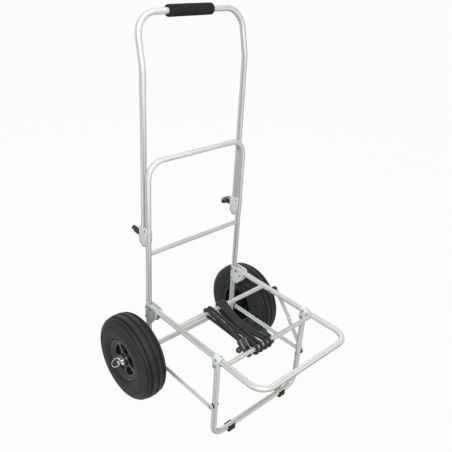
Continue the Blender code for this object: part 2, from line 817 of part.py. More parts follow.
def make_leg():
    top = LEG_PIVOT_HEIGHT + LEG_TOP
    corners = [
        at(-HALF_WIDTH, LEG_REACH, top),
        at(-HALF_WIDTH, LEG_REACH, LEG_BAR_HEIGHT),
        at(HALF_WIDTH, LEG_REACH, LEG_BAR_HEIGHT),
        at(HALF_WIDTH, LEG_REACH, top),
    ]
    frame = bent_tube("leg_frame", corners, (LEG_CORNER, LEG_CORNER))
    holes = through_both_tubes(LEG_REACH, LEG_PIVOT_HEIGHT, BOLT_RADIUS + SEAT)
    holes += through_both_tubes(LEG_REACH, STRUT_HEIGHT, BOLT_RADIUS + SEAT)
    drill(frame, holes)
    pieces = [finished(frame, "aluminium")]
    for name, side in SIDES.items():
        pieces.append(make_foot(name, side))
        pieces += make_strut_bolt(name, side)
    return pieces


def make_foot(name, side):
    """A rubber shoe round the bottom bar, flat underneath."""
    outer = TUBE_RADIUS + SEAT + FOOT_WALL
    middle = side_point(LEG_REACH, LEG_BAR_HEIGHT)
    over = arc(middle, outer, -20, 200, 10)
    edge = over + [(middle[0] - outer, 0.0015), (middle[0] - outer + 0.0015, 0)]
    edge += [(middle[0] + outer - 0.0015, 0), (middle[0] + outer, 0.0015)]
    bore = circle(middle, TUBE_RADIUS + SEAT)
    x = side * FOOT_OFFSET
    foot = side_plate(f"foot_{name}", [edge, bore], x - FOOT_LENGTH / 2, x + FOOT_LENGTH / 2)
    return finished(foot, "rubber")


def make_strut_bolt(name, side):
    """The bolt through the leg and the strut, and the black spacer between them."""
    outer_face = LOWER_STAY_OUTER if name == "right" else STRUT_OUTER
    inner = side * (HALF_WIDTH - TUBE_RADIUS - SEAT)
    outer = side * (outer_face + SEAT)
    bolt = headed_pin(
        f"strut_bolt_{name}", min(inner, outer), max(inner, outer), at(0, LEG_REACH, STRUT_HEIGHT),
        BOLT_RADIUS, BOLT_HEAD_RADIUS, BOLT_HEAD,
    )
    faces = sorted((side * (TUBE_FACE + SEAT), side * (STRUT_INNER - SEAT)))
    spacer = bush(
        f"strut_spacer_{name}", STAY_SPACER_RADIUS, BOLT_RADIUS + SEAT, *faces,
        at(0, LEG_REACH, STRUT_HEIGHT), "X", TUBE_SIDES,
    )
    return [finished(bolt, "steel"), finished(spacer, "black_plastic")]


def bar_outline(start, end, width, start_radius=None, end_radius=None):
    """The outline of a flat bar with round ends, between two pivots."""
    first = start_radius or width / 2
    last = end_radius or width / 2
    along = math.atan2(end[1] - start[1], end[0] - start[0])
    half = width / 2
    outline = []
    for centre, radius, facing in ((start, first, along + math.pi), (end, last, along)):
        spread = math.pi - math.asin(min(1, half / radius))
        for i in range(9):
            angle = facing - spread + 2 * spread * i / 8
            place = (centre[0] + radius * math.cos(angle), centre[1] + radius * math.sin(angle))
            outline.append(place)
    return outline


def slot_outline(centre, along, length, radius):
    """A round-ended slot whose middle is at centre."""
    points = []
    for facing, sign in ((along, 1), (along + math.pi, -1)):
        middle = (
            centre[0] + sign * math.cos(along) * length / 2,
            centre[1] + sign * math.sin(along) * length / 2,
        )
        for i in range(5):
            angle = facing - math.pi / 2 + math.pi * i / 4
            x = middle[0] + radius * math.cos(angle)
            y = middle[1] + radius * math.sin(angle)
            points.append((x, y))
    return points


def make_strut(name, side):
    """A flat bar from the leg to the axle. Its rear eye is a slot, because the axle slides in it
    a little while the platform folds."""
    front = side_point(LEG_REACH, STRUT_HEIGHT)
    axle = side_point(0, AXLE_HEIGHT)
    along = math.atan2(axle[1] - front[1], axle[0] - front[0])
    eye = (axle[0] + math.cos(along) * STRUT_SLOT / 2, axle[1] + math.sin(along) * STRUT_SLOT / 2)
    edge = bar_outline(front, eye, STRUT_WIDTH, None, STRUT_EYE_RADIUS)
    hole = circle(front, BOLT_RADIUS + SEAT, FASTENER_SIDES)
    slot = slot_outline(eye, along, STRUT_SLOT, ROD / 2 + STRUT_PLAY)
    strut = side_plate(
        f"strut_{name}", [edge, hole, slot], side * STRUT_INNER, side * STRUT_OUTER
    )
    return finished(strut, "flat_bar")


def stay_pivots():
    """Upper pivot on the platform, elbow, and lower pivot on the leg."""
    upper = Vector(side_point(STAY_REACH, RAIL_HEIGHT))
    lower = Vector(side_point(LEG_REACH, STRUT_HEIGHT))
    span = lower - upper
    across = Vector((span.y, -span.x)).normalized()
    return upper, (upper + lower) / 2 + across * STAY_OVER_CENTRE, lower


def make_stay():
    """Two flat links on the right-hand side that lock the fold when they are in line."""
    upper, elbow, lower = (tuple(point) for point in stay_pivots())
    hole = BOLT_RADIUS + SEAT
    upper_link = side_plate(
        "stay_upper",
        [bar_outline(upper, elbow, STAY_WIDTH), circle(upper, hole, FASTENER_SIDES)],
        UPPER_STAY_INNER, UPPER_STAY_OUTER,
    )
    lower_link = side_plate(
        "stay_lower",
        [bar_outline(lower, elbow, STAY_WIDTH), circle(lower, hole, FASTENER_SIDES)],
        LOWER_STAY_INNER, LOWER_STAY_OUTER,
    )
    heads = (
        (upper_link, UPPER_STAY_OUTER - SHEET / 2, UPPER_STAY_OUTER + BOLT_HEAD),
        (lower_link, LOWER_STAY_INNER - BOLT_HEAD, LOWER_STAY_INNER + SHEET / 2),
    )
    for link, low, high in heads:
        head = rod(
            "elbow_head", BOLT_HEAD_RADIUS, low, high, Vector((0, AXLE_Y + elbow[0], elbow[1])),
            "X", FASTENER_SIDES,
        )
        combine(link, head, "UNION")
    centre = at(0, STAY_REACH, RAIL_HEIGHT)
    bolt = headed_pin(
        "stay_bolt", HALF_WIDTH - TUBE_RADIUS - SEAT, UPPER_STAY_OUTER + SEAT, centre,
        BOLT_RADIUS, BOLT_HEAD_RADIUS, BOLT_HEAD,
    )
    spacer = bush(
        "stay_spacer", STAY_SPACER_RADIUS, hole, TUBE_FACE + SEAT, UPPER_STAY_INNER - SEAT,
        centre, "X", TUBE_SIDES,
    )
    return (
        finished(upper_link, "flat_bar"),
        finished(lower_link, "flat_bar"),
        finished(bolt, "steel"),
        finished(spacer, "black_plastic"),
    )


def tyre_profile():
    """Half section of the tyre, from bead to bead round the outside and back inside."""
    half = TYRE_WIDTH / 2
    crown = WHEEL_RADIUS
    bead = RIM_WIDTH / 2 - RIM_WALL - SEAT
    flank = RIM_WIDTH / 2 - RIM_WALL * 0.6 - 2 * SEAT
    outside = [(BEAD_RADIUS + SEAT, bead), (RIM_RADIUS + 2 * SEAT, flank)]
    outside += [(crown * 0.56, half * 0.94), (crown * 0.73, half), (crown * 0.88, half * 0.90)]
    shoulder = half * 0.56
    outside += [
        (crown * 0.98, shoulder), (crown * 0.98 - TREAD_GROOVE, shoulder - TREAD_GROOVE),
        (crown * 0.99, shoulder - 2 * TREAD_GROOVE), (crown, 1.2 * TREAD_GROOVE),
        (crown - TREAD_GROOVE, 0),
    ]
    mirrored = [(radius, -along) for radius, along in reversed(outside[:-1])]
    inside = [
        (BEAD_RADIUS + SEAT, TYRE_WALL - bead),
        (crown * 0.75, TYRE_WALL - half),
        (crown - TYRE_WALL, -half * 0.45),
        (crown - TYRE_WALL, half * 0.45),
        (crown * 0.75, half - TYRE_WALL),
        (BEAD_RADIUS + SEAT, bead - TYRE_WALL),
    ]
    return outside + mirrored + inside


def make_wheel(name, side):
    """A pneumatic tyre on a moulded rim with five windows between its spokes."""
    centre = at(side * HALF_TRACK, 0, AXLE_HEIGHT)
    tyre = turned(f"tyre_{name}", tyre_profile(), centre, "X", WHEEL_STEPS, ring=True)
    half = RIM_WIDTH / 2
    barrel = BEAD_RADIUS
    bed = barrel - RIM_WALL
    web_in = side * WEB_OFFSET - WEB_THICKNESS / 2
    web_out = side * WEB_OFFSET + WEB_THICKNESS / 2
    hub_low, hub_high = sorted((side * HUB_INNER - side * HALF_TRACK, side * HUB_REACH))
    bore = ROD / 2 + SEAT
    profile = [
        (RIM_RADIUS, half), (RIM_RADIUS, half - RIM_WALL * 0.6), (barrel, half - RIM_WALL),
        (barrel, RIM_WALL - half), (RIM_RADIUS, RIM_WALL * 0.6 - half), (RIM_RADIUS, -half),
        (RIM_RADIUS - RIM_WALL, -half),
        (bed, web_in), (HUB_RADIUS + HUB_TAPER, web_in), (HUB_RADIUS, hub_low),
        (bore, hub_low), (bore, hub_high), (HUB_RADIUS, hub_high),
        (HUB_RADIUS + HUB_TAPER, web_out), (bed, web_out),
        (RIM_RADIUS - RIM_WALL, half),
    ]
    rim = turned(f"rim_{name}", profile, centre, "X", WHEEL_STEPS, ring=True)
    combine(rim, rim_windows(centre, bed), "DIFFERENCE")
    pivot = body_joint(f"wheel_pivot_{name}", centre, [tyre, rim])
    finished(tyre, "tyre")
    finished(rim, "rim")
    return pivot


def rim_windows(centre, bed):
    """Cutters for the windows: rounded sectors between the hub and the rim's bed."""
    low = HUB_RADIUS + 0.006
    high = bed - 0.006
    cage = bmesh.new()
    share = 2 * math.pi / SPOKES
    for i in range(SPOKES):
        middle = math.pi / 2 + i * share
        outline = window_outline(low, high, middle, share)
        near = [cage.verts.new((-RIM_WIDTH, *point)) for point in outline]
        far = [cage.verts.new((RIM_WIDTH, *point)) for point in outline]
        cage.faces.new(near)
        cage.faces.new(list(reversed(far)))
        for j in range(len(outline)):
            k = (j + 1) % len(outline)
            cage.faces.new((near[k], near[j], far[j], far[k]))
    bmesh.ops.recalc_face_normals(cage, faces=cage.faces)
    bmesh.ops.translate(cage, verts=cage.verts, vec=centre)
    mesh = bpy.data.meshes.new("windows")
    cage.to_mesh(mesh)
    cage.free()
    return into(PARTS, bpy.data.objects.new("windows", mesh))


def window_outline(low, high, middle, share):
    """A sector whose sides leave spokes of an even width."""
    spoke = 0.0055
    outline = []
    for radius, sign in ((low, -1), (high, -1), (high, 1), (low, 1)):
        spread = share / 2 - math.asin(spoke / radius)
        if radius == high and sign == -1:
            angles = [middle - spread + spread * 2 * i / 4 for i in range(5)]
        elif radius == low:
            angles = [middle + sign * spread]
        else:
            continue
        outline += [(radius * math.cos(a), radius * math.sin(a)) for a in angles]
    return outline


def make_linch_pin(name, side):
    """The pin through the end of the axle, and the ring hinged in its head."""
    x = side * PIN_X
    head = at(x, 0, AXLE_HEIGHT + PIN_HEAD_HEIGHT)
    tip = -(ROD / 2 + PIN_HEAD_HEIGHT + 0.004)
    radius = PIN / 2
    ball = PIN_HEAD_RADIUS
    low = math.asin(radius / ball)
    steps = 4
    curve = [math.pi / 2 - (math.pi - low) * i / steps for i in range(steps + 1)]
    profile = [(ball * math.cos(a), ball * math.sin(a)) for a in curve]
    profile += [(radius, tip + 0.002), (radius * 0.5, tip), (0, tip)]
    pin = turned(f"linch_pin_{name}", profile, head, "Z", FASTENER_SIDES)
    drill(pin, [(head, "Y", RING_WIRE / 2 + 0.0013, 4 * ball)])
    major = 14
    minor = 6
    bpy.ops.mesh.primitive_torus_add(
        major_segments=major, minor_segments=minor, major_radius=RING_RADIUS,
        minor_radius=RING_WIRE / 2, location=(0, 0, -RING_RADIUS), rotation=(0, math.pi / 2, 0),
    )
    ring = bpy.context.object
    ring.name = f"linch_ring_{name}"
    for collection in list(ring.users_collection):
        collection.objects.unlink(ring)
    into(PARTS, ring)
    ring = as_mesh(ring)
    swing = Matrix.Rotation(-side * RING_TILT, 4, "Y")
    ring.data.transform(Matrix.Translation(head) @ swing)
    slide = body_joint(f"linch_slide_{name}", at(x, 0, AXLE_HEIGHT), [pin])
    body_joint(f"linch_hinge_{name}", head, [ring], slide)
    finished(pin, "steel")
    finished(ring, "steel")


def cord_wrap(x, forward, first, last):
    """Half a turn round a platform bar, between two angles seen from the right-hand side."""
    radius = BAR_RADIUS + CORD / 2 + CORD_SEAT
    steps = 4
    points = []
    for i in range(steps + 1):
        share = i / steps
        angle = math.radians(first + (last - first) * share)
        place = at(
            x + CORD_DRIFT * (share - 0.5),
            forward - radius * math.cos(angle),
            RAIL_HEIGHT + radius * math.sin(angle),
        )
        points.append(place)
    return points


def cord_run(start, end):
    """The points inside a slack stretch. The strands hang and draw together: the further to the
    right a strand lies, the more it hangs."""
    across = (start.x + end.x) / 2
    place = (across - FIRST_HOOK) / (LAST_HOOK - FIRST_HOOK)
    sway = Vector((MOST_PULL * (1 - 2 * place), 0, -MOST_SAG * place))
    return [start.lerp(end, share) + sway * math.sin(math.pi * share) for share in (0.25, 0.5, 0.75)]


def hook_point(name, along, across):
    """A point of a hook's side view: along its shank from the bar's centre, and across it,
    away from the bar."""
    angle = SHANK_ANGLES[name]
    bar = side_point(FRONT_BAR_REACH, RAIL_HEIGHT)
    return (
        bar[0] + along * math.cos(angle) + across * math.sin(angle),
        bar[1] + along * math.sin(angle) - across * math.cos(angle),
    )


def hook_mouth(name):
    """The point in a hook's block where the cord enters, and the direction it leaves in."""
    x = FIRST_HOOK if name == "first" else LAST_HOOK
    y, z = hook_point(name, HOOK_LENGTH, HOOK_BLOCK_REACH)
    return Vector((x, AXLE_Y + y, z)), Vector((0, math.cos(CORD_DROP), -math.sin(CORD_DROP)))


def cord_points():
    """The route: from the first hook, back and forth round both bars, to the last hook."""
    start, leaving = hook_mouth("first")
    end, entering = hook_mouth("last")
    turns = []
    for i, x in enumerate(REAR_TURNS):
        turns.append(cord_wrap(x, REAR_BAR_REACH, 95, -95))
        if i < len(FRONT_TURNS):
            turns.append(cord_wrap(FRONT_TURNS[i], FRONT_BAR_REACH, 265, 85))
    route = [start - leaving * CORD_DEPTH, start + leaving * HOOK_BLOCK]
    route += cord_run(route[-1], turns[0][0])
    for turn, following in zip(turns, turns[1:]):
        route += turn + cord_run(turn[-1], following[0])
    last = turns[-1]
    outside = end + entering * HOOK_BLOCK
    return route + last + cord_run(last[-1], outside) + [outside, end - entering * CORD_DEPTH]


def make_hook(name, x):
    """A moulded hook that grips the front bar, with a thumb tab under its shank and a thick block
    that holds the cord's end."""
    near = BAR_RADIUS + SEAT
    far = near + HOOK_THICKNESS
    degrees = math.degrees(HOOK_GRIP)
    inner = [hook_point(name, *point) for point in arc((0, 0), near, 90, 90 + degrees, 6)]
    outer = [hook_point(name, *point) for point in arc((0, 0), far, 90 + degrees - 6, 90, 6)]
    outline = [hook_point(name, HOOK_LENGTH, near)] + inner + outer
    outline.append(hook_point(name, HOOK_LENGTH, far))
    low = x - HOOK_WIDTH / 2
    high = x + HOOK_WIDTH / 2
    hook = settled(side_plate(f"bungee_hook_{name}", [outline], low, high, HOOK_THICKNESS / 5))
    block_start = hook_point(name, HOOK_BLOCK_START, HOOK_BLOCK_REACH)
    block_end = hook_point(name, HOOK_LENGTH, HOOK_BLOCK_REACH)
    block_outline = bar_outline(block_start, block_end, HOOK_BLOCK)
    block = side_plate("block", [block_outline], low - SEAT, high + SEAT, HOOK_THICKNESS / 3)
    combine(hook, block, "UNION")
    outer_side = -1 if name == "first" else 1
    tab_edges = [HOOK_WIDTH / 2 - SEAT, HOOK_WIDTH / 2 - THUMB_TAB_WIDTH]
    tab_low, tab_high = sorted(x + outer_side * edge for edge in tab_edges)
    tab_start = hook_point(name, HOOK_BLOCK_START, HOOK_BLOCK_REACH)
    tab_end = hook_point(name, HOOK_BLOCK_START, HOOK_BLOCK_REACH + THUMB_TAB)
    tab_outline = bar_outline(tab_start, tab_end, THUMB_TAB_THICKNESS)
    tab = side_plate("tab", [tab_outline], tab_low, tab_high, THUMB_TAB_THICKNESS / 4)
    combine(hook, tab, "UNION")
    mouth, leaving = hook_mouth(name)
    bore = rod("bore", CORD / 2 + SEAT, -CORD_DEPTH - SEAT, HOOK_BLOCK, Vector(), "Z")
    facing = leaving.to_track_quat("Z", "Y").to_matrix().to_4x4()
    bore.data.transform(Matrix.Translation(mouth) @ facing)
    combine(hook, bore, "DIFFERENCE")
    return finished(hook, "black_plastic")


def make_bungee():
    cord = sweep("bungee_cord", cord_points(), CORD / 2, 8)
    return [finished(cord, "cord"), make_hook("first", FIRST_HOOK), make_hook("last", LAST_HOOK)]


def build():
    make_back_frame()
    make_axle()
    for name, side in SIDES.items():
        make_hinge_bracket(name, side)
        make_clamp_bracket(name, side)
        make_clamp_knob(name, side)
        make_wheel(name, side)
        make_linch_pin(name, side)
    make_handle()
    upper_link, lower_link, stay_bolt, stay_spacer = make_stay()
    platform = make_platform_frame() + make_bungee() + [stay_bolt, stay_spacer]
    for name, side in SIDES.items():
        platform += make_leg_clip(name, side)
    fold = body_joint("platform_pivot", at(0, RAIL_PIVOT, RAIL_HEIGHT), platform)
    leg = body_joint("leg_pivot", at(0, LEG_REACH, LEG_PIVOT_HEIGHT), make_leg(), fold)
    strut_axis = at(0, LEG_REACH, STRUT_HEIGHT)
    for name, side in SIDES.items():
        body_joint(f"strut_pivot_{name}", strut_axis, [make_strut(name, side)], leg)
    body_joint("stay_upper_pivot", at(0, STAY_REACH, RAIL_HEIGHT), [upper_link], fold)
    body_joint("stay_lower_pivot", strut_axis, [lower_link], leg)


clear_scene()
MATERIALS = make_materials()
build()
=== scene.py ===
# %% [markdown]
# # A folding surfcasting trolley
#
# The trolley carries rods and tackle over sand. Its frame is bent aluminium tube on two
# pneumatic wheels, and every hinge is a folded sheet bracket with rivets and bolts. The packed
# CAD model gives all places and movements. This lesson dresses it: the tubes, tyres, grip and
# cord are modelled finely, and each surface gets the finish that the real one has.
#
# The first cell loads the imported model. Everything is in metres, with +Z up, the platform
# towards -Y and the handle leaning to +Y.

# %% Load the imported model
import json
import math

import bpy
from mathutils import Matrix, Vector

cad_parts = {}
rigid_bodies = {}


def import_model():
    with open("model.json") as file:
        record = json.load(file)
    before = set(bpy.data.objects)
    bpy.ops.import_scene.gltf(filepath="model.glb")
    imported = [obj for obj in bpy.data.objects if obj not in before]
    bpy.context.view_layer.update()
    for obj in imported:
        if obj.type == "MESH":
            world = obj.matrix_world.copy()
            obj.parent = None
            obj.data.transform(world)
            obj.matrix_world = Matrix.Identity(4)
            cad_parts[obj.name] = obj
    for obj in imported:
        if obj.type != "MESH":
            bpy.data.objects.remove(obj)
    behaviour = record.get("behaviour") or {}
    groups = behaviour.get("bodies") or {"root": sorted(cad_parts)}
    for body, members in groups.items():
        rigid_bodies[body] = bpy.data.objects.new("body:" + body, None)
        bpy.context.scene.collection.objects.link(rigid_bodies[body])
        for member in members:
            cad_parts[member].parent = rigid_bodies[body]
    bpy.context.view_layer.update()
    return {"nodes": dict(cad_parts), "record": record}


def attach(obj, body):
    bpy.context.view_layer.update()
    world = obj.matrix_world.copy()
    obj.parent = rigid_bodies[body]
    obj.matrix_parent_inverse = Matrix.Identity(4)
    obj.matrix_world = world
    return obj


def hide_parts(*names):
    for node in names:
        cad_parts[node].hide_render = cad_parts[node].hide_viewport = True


for leftover in list(bpy.data.objects):
    bpy.data.objects.remove(leftover)
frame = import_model()

# %% [markdown]
# The main sizes are repeated here from the CAD model, because several pieces below are built
# from them. They are the sizes of the real trolley: 16 mm tube, 260 mm wheels, and a platform
# that reaches 452 mm in front of the axle. Heights are above the ground.

# %% Sizes of the trolley
TUBE_RADIUS = 0.008
TUBE_WALL = 0.0015
HALF_WIDTH = 0.167
WHEEL_RADIUS = 0.130
HALF_TRACK = 0.227
AXLE_Y = 0.165
RAIL_HEIGHT = 0.284
PLATFORM_REACH = 0.452
LEG_REACH = 0.296
LEG_BAR_HEIGHT = 0.013
BACK_HEIGHT = 0.7155
BACK_BAR_HEIGHT = 0.451
HANDLE_FOOT = 0.4705
HANDLE_KINK = 0.945
HANDLE_HEIGHT = 1.0665
HANDLE_BACK = 0.019
BAR_RADIUS = 0.0065
BAR_WALL = 0.0012
REAR_BAR = 0.133
FRONT_BAR = 0.326
SEAT = 0.0003
SIDES = {"left": -1, "right": 1}


def at(x, forward, height):
    """A point given by its distance in front of the axle."""
    return Vector((x, AXLE_Y - forward, height))


print("tube", 2000 * TUBE_RADIUS, "mm, wheels", 2000 * WHEEL_RADIUS, "mm")

# %% [markdown]
# The camera stands where the photographer stood: a little above the handle, off the front left
# corner. It is less than 2 m away with a normal lens of 45 mm, so the near wheel looks larger
# than the far one. Its place was found by fitting the model's corners to the picture, so it is
# written as a target, two angles, a small roll and a distance.

# %% Camera
TARGET = Vector((0.1341, 0.1802, 0.438))
AZIMUTH = math.radians(-44.2144)
ELEVATION = math.radians(27.5282)
ROLL = math.radians(3.6943)
DISTANCE = 1.732
LENS_IN_PIXELS = 562.66
IMAGE_SIDE = 452
SENSOR = 36

back = Vector(
    (
        math.sin(AZIMUTH) * math.cos(ELEVATION),
        -math.cos(AZIMUTH) * math.cos(ELEVATION),
        math.sin(ELEVATION),
    )
)
level_right = Vector((math.cos(AZIMUTH), math.sin(AZIMUTH), 0))
level_up = back.cross(level_right)
right = level_right * math.cos(ROLL) + level_up * math.sin(ROLL)
up = level_up * math.cos(ROLL) - level_right * math.sin(ROLL)
camera = bpy.data.objects.new("camera", bpy.data.cameras.new("camera"))
bpy.context.scene.collection.objects.link(camera)
camera.data.sensor_width = SENSOR
camera.data.lens = LENS_IN_PIXELS * SENSOR / IMAGE_SIDE
camera.matrix_world = Matrix((right, up, back)).transposed().to_4x4()
camera.matrix_world.translation = TARGET + back * DISTANCE
bpy.context.scene.camera = camera
print("camera at", [round(c, 3) for c in camera.matrix_world.translation])

# %% [markdown]
# A material here is a small network of nodes. One helper adds a node, sets its properties and
# fills or links its inputs, so that a network reads from top to bottom. Colours are written as
# the hex values that a paint chart gives, and one function turns them into the linear light that
# the shader works in.


# %% Helpers for materials
def colour(code):
    """A linear colour from an sRGB hex code."""
    parts = [int(code[i : i + 2], 16) / 255 for i in (1, 3, 5)]
    return (*[c / 12.92 if c <= 0.04045 else ((c + 0.055) / 1.055) ** 2.4 for c in parts], 1)


def add(tree, kind, inputs=(), **settings):
    """Adds a node, sets its properties, and fills or links its inputs."""
    node = tree.nodes.new(kind)
    for name, value in settings.items():
        setattr(node, name, value)
    for name, value in dict(inputs).items():
        if isinstance(value, bpy.types.NodeSocket):
            tree.links.new(value, node.inputs[name])
        else:
            node.inputs[name].default_value = value
    return node


def blank(name):
    """A new material, its node tree and its Principled shader."""
    material = bpy.data.materials.new(name)
    material.use_nodes = True
    return material, material.node_tree, material.node_tree.nodes["Principled BSDF"]


def tones(tree, value, stops):
    """A colour ramp with (place, hex code) stops."""
    ramp = add(tree, "ShaderNodeValToRGB", {"Fac": value})
    elements = ramp.color_ramp.elements
    while len(elements) < len(stops):
        elements.new(0.5)
    for element, (place, code) in zip(elements, stops):
        element.position = place
        element.color = colour(code)
    return ramp.outputs["Color"]


def levels(tree, value, low, high):
    """The value's 0 to 1 range moved to low and high."""
    node = add(tree, "ShaderNodeMapRange", {"Value": value, "To Min": low, "To Max": high})
    return node.outputs["Result"]


def stretched(tree, vector, scale):
    """Coordinates multiplied by one over the pattern's size along each axis."""
    return add(
        tree, "ShaderNodeMapping", {"Vector": vector, "Scale": scale}, vector_type="POINT"
    ).outputs["Vector"]


def maths(tree, operation, *values):
    """The result of one operation, such as MULTIPLY or SINE, on numbers or links."""
    return add(tree, "ShaderNodeMath", dict(enumerate(values)), operation=operation).outputs[0]


def mixed(tree, factor, first, second):
    """A colour between two others."""
    inputs = {"Factor": factor, "A": first, "B": second}
    return add(tree, "ShaderNodeMix", inputs, data_type="RGBA").outputs["Result"]


def noise(tree, vector, detail=2.0, rough=0.5):
    """Cloudy noise from 0 to 1. Its broadest patches are one unit of the vector wide."""
    node = add(
        tree,
        "ShaderNodeTexNoise",
        {"Vector": vector, "Scale": 1.0, "Detail": detail, "Roughness": rough},
    )
    return node.outputs["Fac"]


def bump(tree, shader, height, depth, strength=1.0):
    """Feeds a height pattern, whose full swing is depth in metres, to the shader's normal."""
    node = add(
        tree, "ShaderNodeBump", {"Height": height, "Distance": depth, "Strength": strength}
    )
    tree.links.new(node.outputs["Normal"], shader.inputs["Normal"])


def paint(tree, shader, base, roughness):
    """Links the shader's colour and its roughness."""
    tree.links.new(base, shader.inputs["Base Color"])
    tree.links.new(roughness, shader.inputs["Roughness"])


print("a mid grey #808080 is", round(colour("#808080")[0], 3), "in linear light")

# %% [markdown]
# ## Metal finishes
#
# The frame is anodised aluminium tube. Anodising leaves a satin, warm grey skin in which the
# long drawing marks of the tube still show. Those marks follow the tube round its bends, so the
# pattern is laid on the tube's own UV map, which is in metres: across is round the tube and up
# is along it. Real marks are a few hundredths of a millimetre wide. They are drawn 7 mm wide
# here, because finer ones would vanish in the picture, and with a strong swing from dark grey to
# near white, so that they are also painted reflections: light and dark streaks that stand in for
# what the metal would mirror. A full metal would only mirror the white studio and look flat, so
# the metallic share is low and most light is scattered.

# %% Anodised aluminium tube
MARK_WIDTH = 0.007
MARK_LENGTH = 0.8


def anodised_tube():
    material, tree, shader = blank("satin_anodised_aluminium")
    shader.inputs["Metallic"].default_value = 0.2
    shader.inputs["Specular IOR Level"].default_value = 0.2
    own = add(tree, "ShaderNodeUVMap", uv_map="along").outputs["UV"]
    marks = noise(tree, stretched(tree, own, (1 / MARK_WIDTH, 1 / MARK_LENGTH, 1)), 1, 0.5)
    clouds = noise(tree, stretched(tree, own, (1 / 0.05, 1 / 0.05, 1)), 2, 0.5)
    # Painted reflections: dark grey to near white streaks along the drawing marks stand in for
    # what the metal would mirror.
    marks_and_painted_reflections = tones(tree, marks, [(0.36, "#adaeab"), (0.47, "#d3d4d0"), (0.6, "#eeeeea")])
    paint(tree, shader, marks_and_painted_reflections, levels(tree, clouds, 0.28, 0.44))
    bump(tree, shader, marks, 0.00001, 0.2)
    return material


ANODISED = anodised_tube()
print(ANODISED.name)

# %% [markdown]
# The crossbars and the axle tube are thinner drawn tube, left bare. Their drawing lines are
# painted as brown-grey stripes along the bar, 2 to 3 mm wide and hundreds long, and the swing
# from dark to near white makes them painted reflections too: the bright and dark lines that a
# bare bar mirrors. They use the same UV map as the bent tubes.

# %% Drawn aluminium bar
LINE_WIDTH = 0.0026
LINE_LENGTH = 0.6


def drawn_bar():
    material, tree, shader = blank("drawn_aluminium")
    shader.inputs["Metallic"].default_value = 0.3
    own = add(tree, "ShaderNodeUVMap", uv_map="along").outputs["UV"]
    lines = noise(tree, stretched(tree, own, (1 / LINE_WIDTH, 1 / LINE_LENGTH, 1)), 1, 0.5)
    # Painted reflections: dark and near-white stripes along the drawing lines stand in for the
    # lines that the bar would mirror.
    lines_and_painted_reflections = tones(tree, lines, [(0.36, "#96948c"), (0.46, "#d3d2cc"), (0.68, "#ecece8")])
    paint(tree, shader, lines_and_painted_reflections, levels(tree, lines, 0.3, 0.48))
    bump(tree, shader, lines, 0.00008, 0.6)
    return material


DRAWN = drawn_bar()
print(DRAWN.name)

# %% [markdown]
# Brackets and clips are pressed from galvanised sheet and bright zinc plated: a cool, bluish
# white skin with a faint bloom where the zinc grew in patches of a few millimetres. The flat
# bars of the struts and the stay have the same plating, rolled along their length and a little
# bluer. The axle, its washers and the linch pins are polished steel. Bolts and rivets are zinc
# plated too. Their heads are coloured darker and duller than the sheet as painted shade, the
# shade that makes them stand out as dark marks on the brackets.

# %% Plated sheet, flat bar and bright steel
FINE_GRAIN = 0.0008


def plated(name, dark, light, metallic, rough, patch, depth):
    """Zinc plating: patches of the given size over a fine grain."""
    material, tree, shader = blank(name)
    shader.inputs["Metallic"].default_value = metallic
    place = add(tree, "ShaderNodeTexCoord").outputs["Object"]
    bloom = noise(tree, stretched(tree, place, (1 / patch,) * 3), 3, 0.6)
    grain = noise(tree, stretched(tree, place, (1 / FINE_GRAIN,) * 3), 2, 0.6)
    skin = tones(tree, bloom, [(0.3, dark), (0.7, light)])
    paint(tree, shader, skin, levels(tree, bloom, rough - 0.07, rough + 0.1))
    bump(tree, shader, grain, depth, 0.4)
    return material


ZINC = plated("bright_zinc_plated_sheet", "#d9e4e7", "#f2f8f9", 0.25, 0.34, 0.006, 0.00003)
FLAT_BAR = plated("zinc_plated_flat_bar", "#dce6ea", "#eff5f7", 0.2, 0.36, 0.012, 0.00003)
STEEL = plated("polished_steel", "#b9bcc0", "#e0e2e4", 1.0, 0.2, 0.004, 0.00001)
# Painted shade: the fasteners' colours are darker than the sheet's so that the heads look shaded.
FASTENER = plated("zinc_fastener_painted_shade", "#6d767b", "#979fa3", 0.6, 0.34, 0.002, 0.00002)
print(ZINC.name, FLAT_BAR.name, STEEL.name, FASTENER.name)

# %% [markdown]
# ## Rubber, foam and plastic
#
# The tyre is natural rubber filled with carbon black: a greenish charcoal, matt, with dust from
# the beach on the ribs of its tread. Moulding leaves fine rings on its walls, 4.5 mm apart, and
# a band of short radial teeth on each shoulder. The teeth are modelled, and their colour helps
# to tell them apart from far away: their tops carry a painted highlight in a lighter blue-grey,
# and the gaps between them carry painted shade. The pattern needs the angle round the wheel and
# the distance from the axle, so the wheel's centre is first put at zero, and a radial gradient
# gives the angle.

# %% Tyre rubber
TEETH = 160
TEETH_INNER = 0.1020
TEETH_OUTER = 0.1205
TREAD_INNER = 0.1275
TREAD_OUTER = 0.14
RING_SPACING = 0.0045
RING_HEIGHT = 0.0003


def between(tree, value, low, high, edge):
    """One where the value is between low and high, with soft edges, and nought elsewhere."""
    rise = {"Value": value, "From Min": low - edge, "From Max": low + edge}
    fall = {"Value": value, "From Min": high + edge, "From Max": high - edge}
    ramps = [add(tree, "ShaderNodeMapRange", ends).outputs["Result"] for ends in (rise, fall)]
    return maths(tree, "MULTIPLY", *ramps)


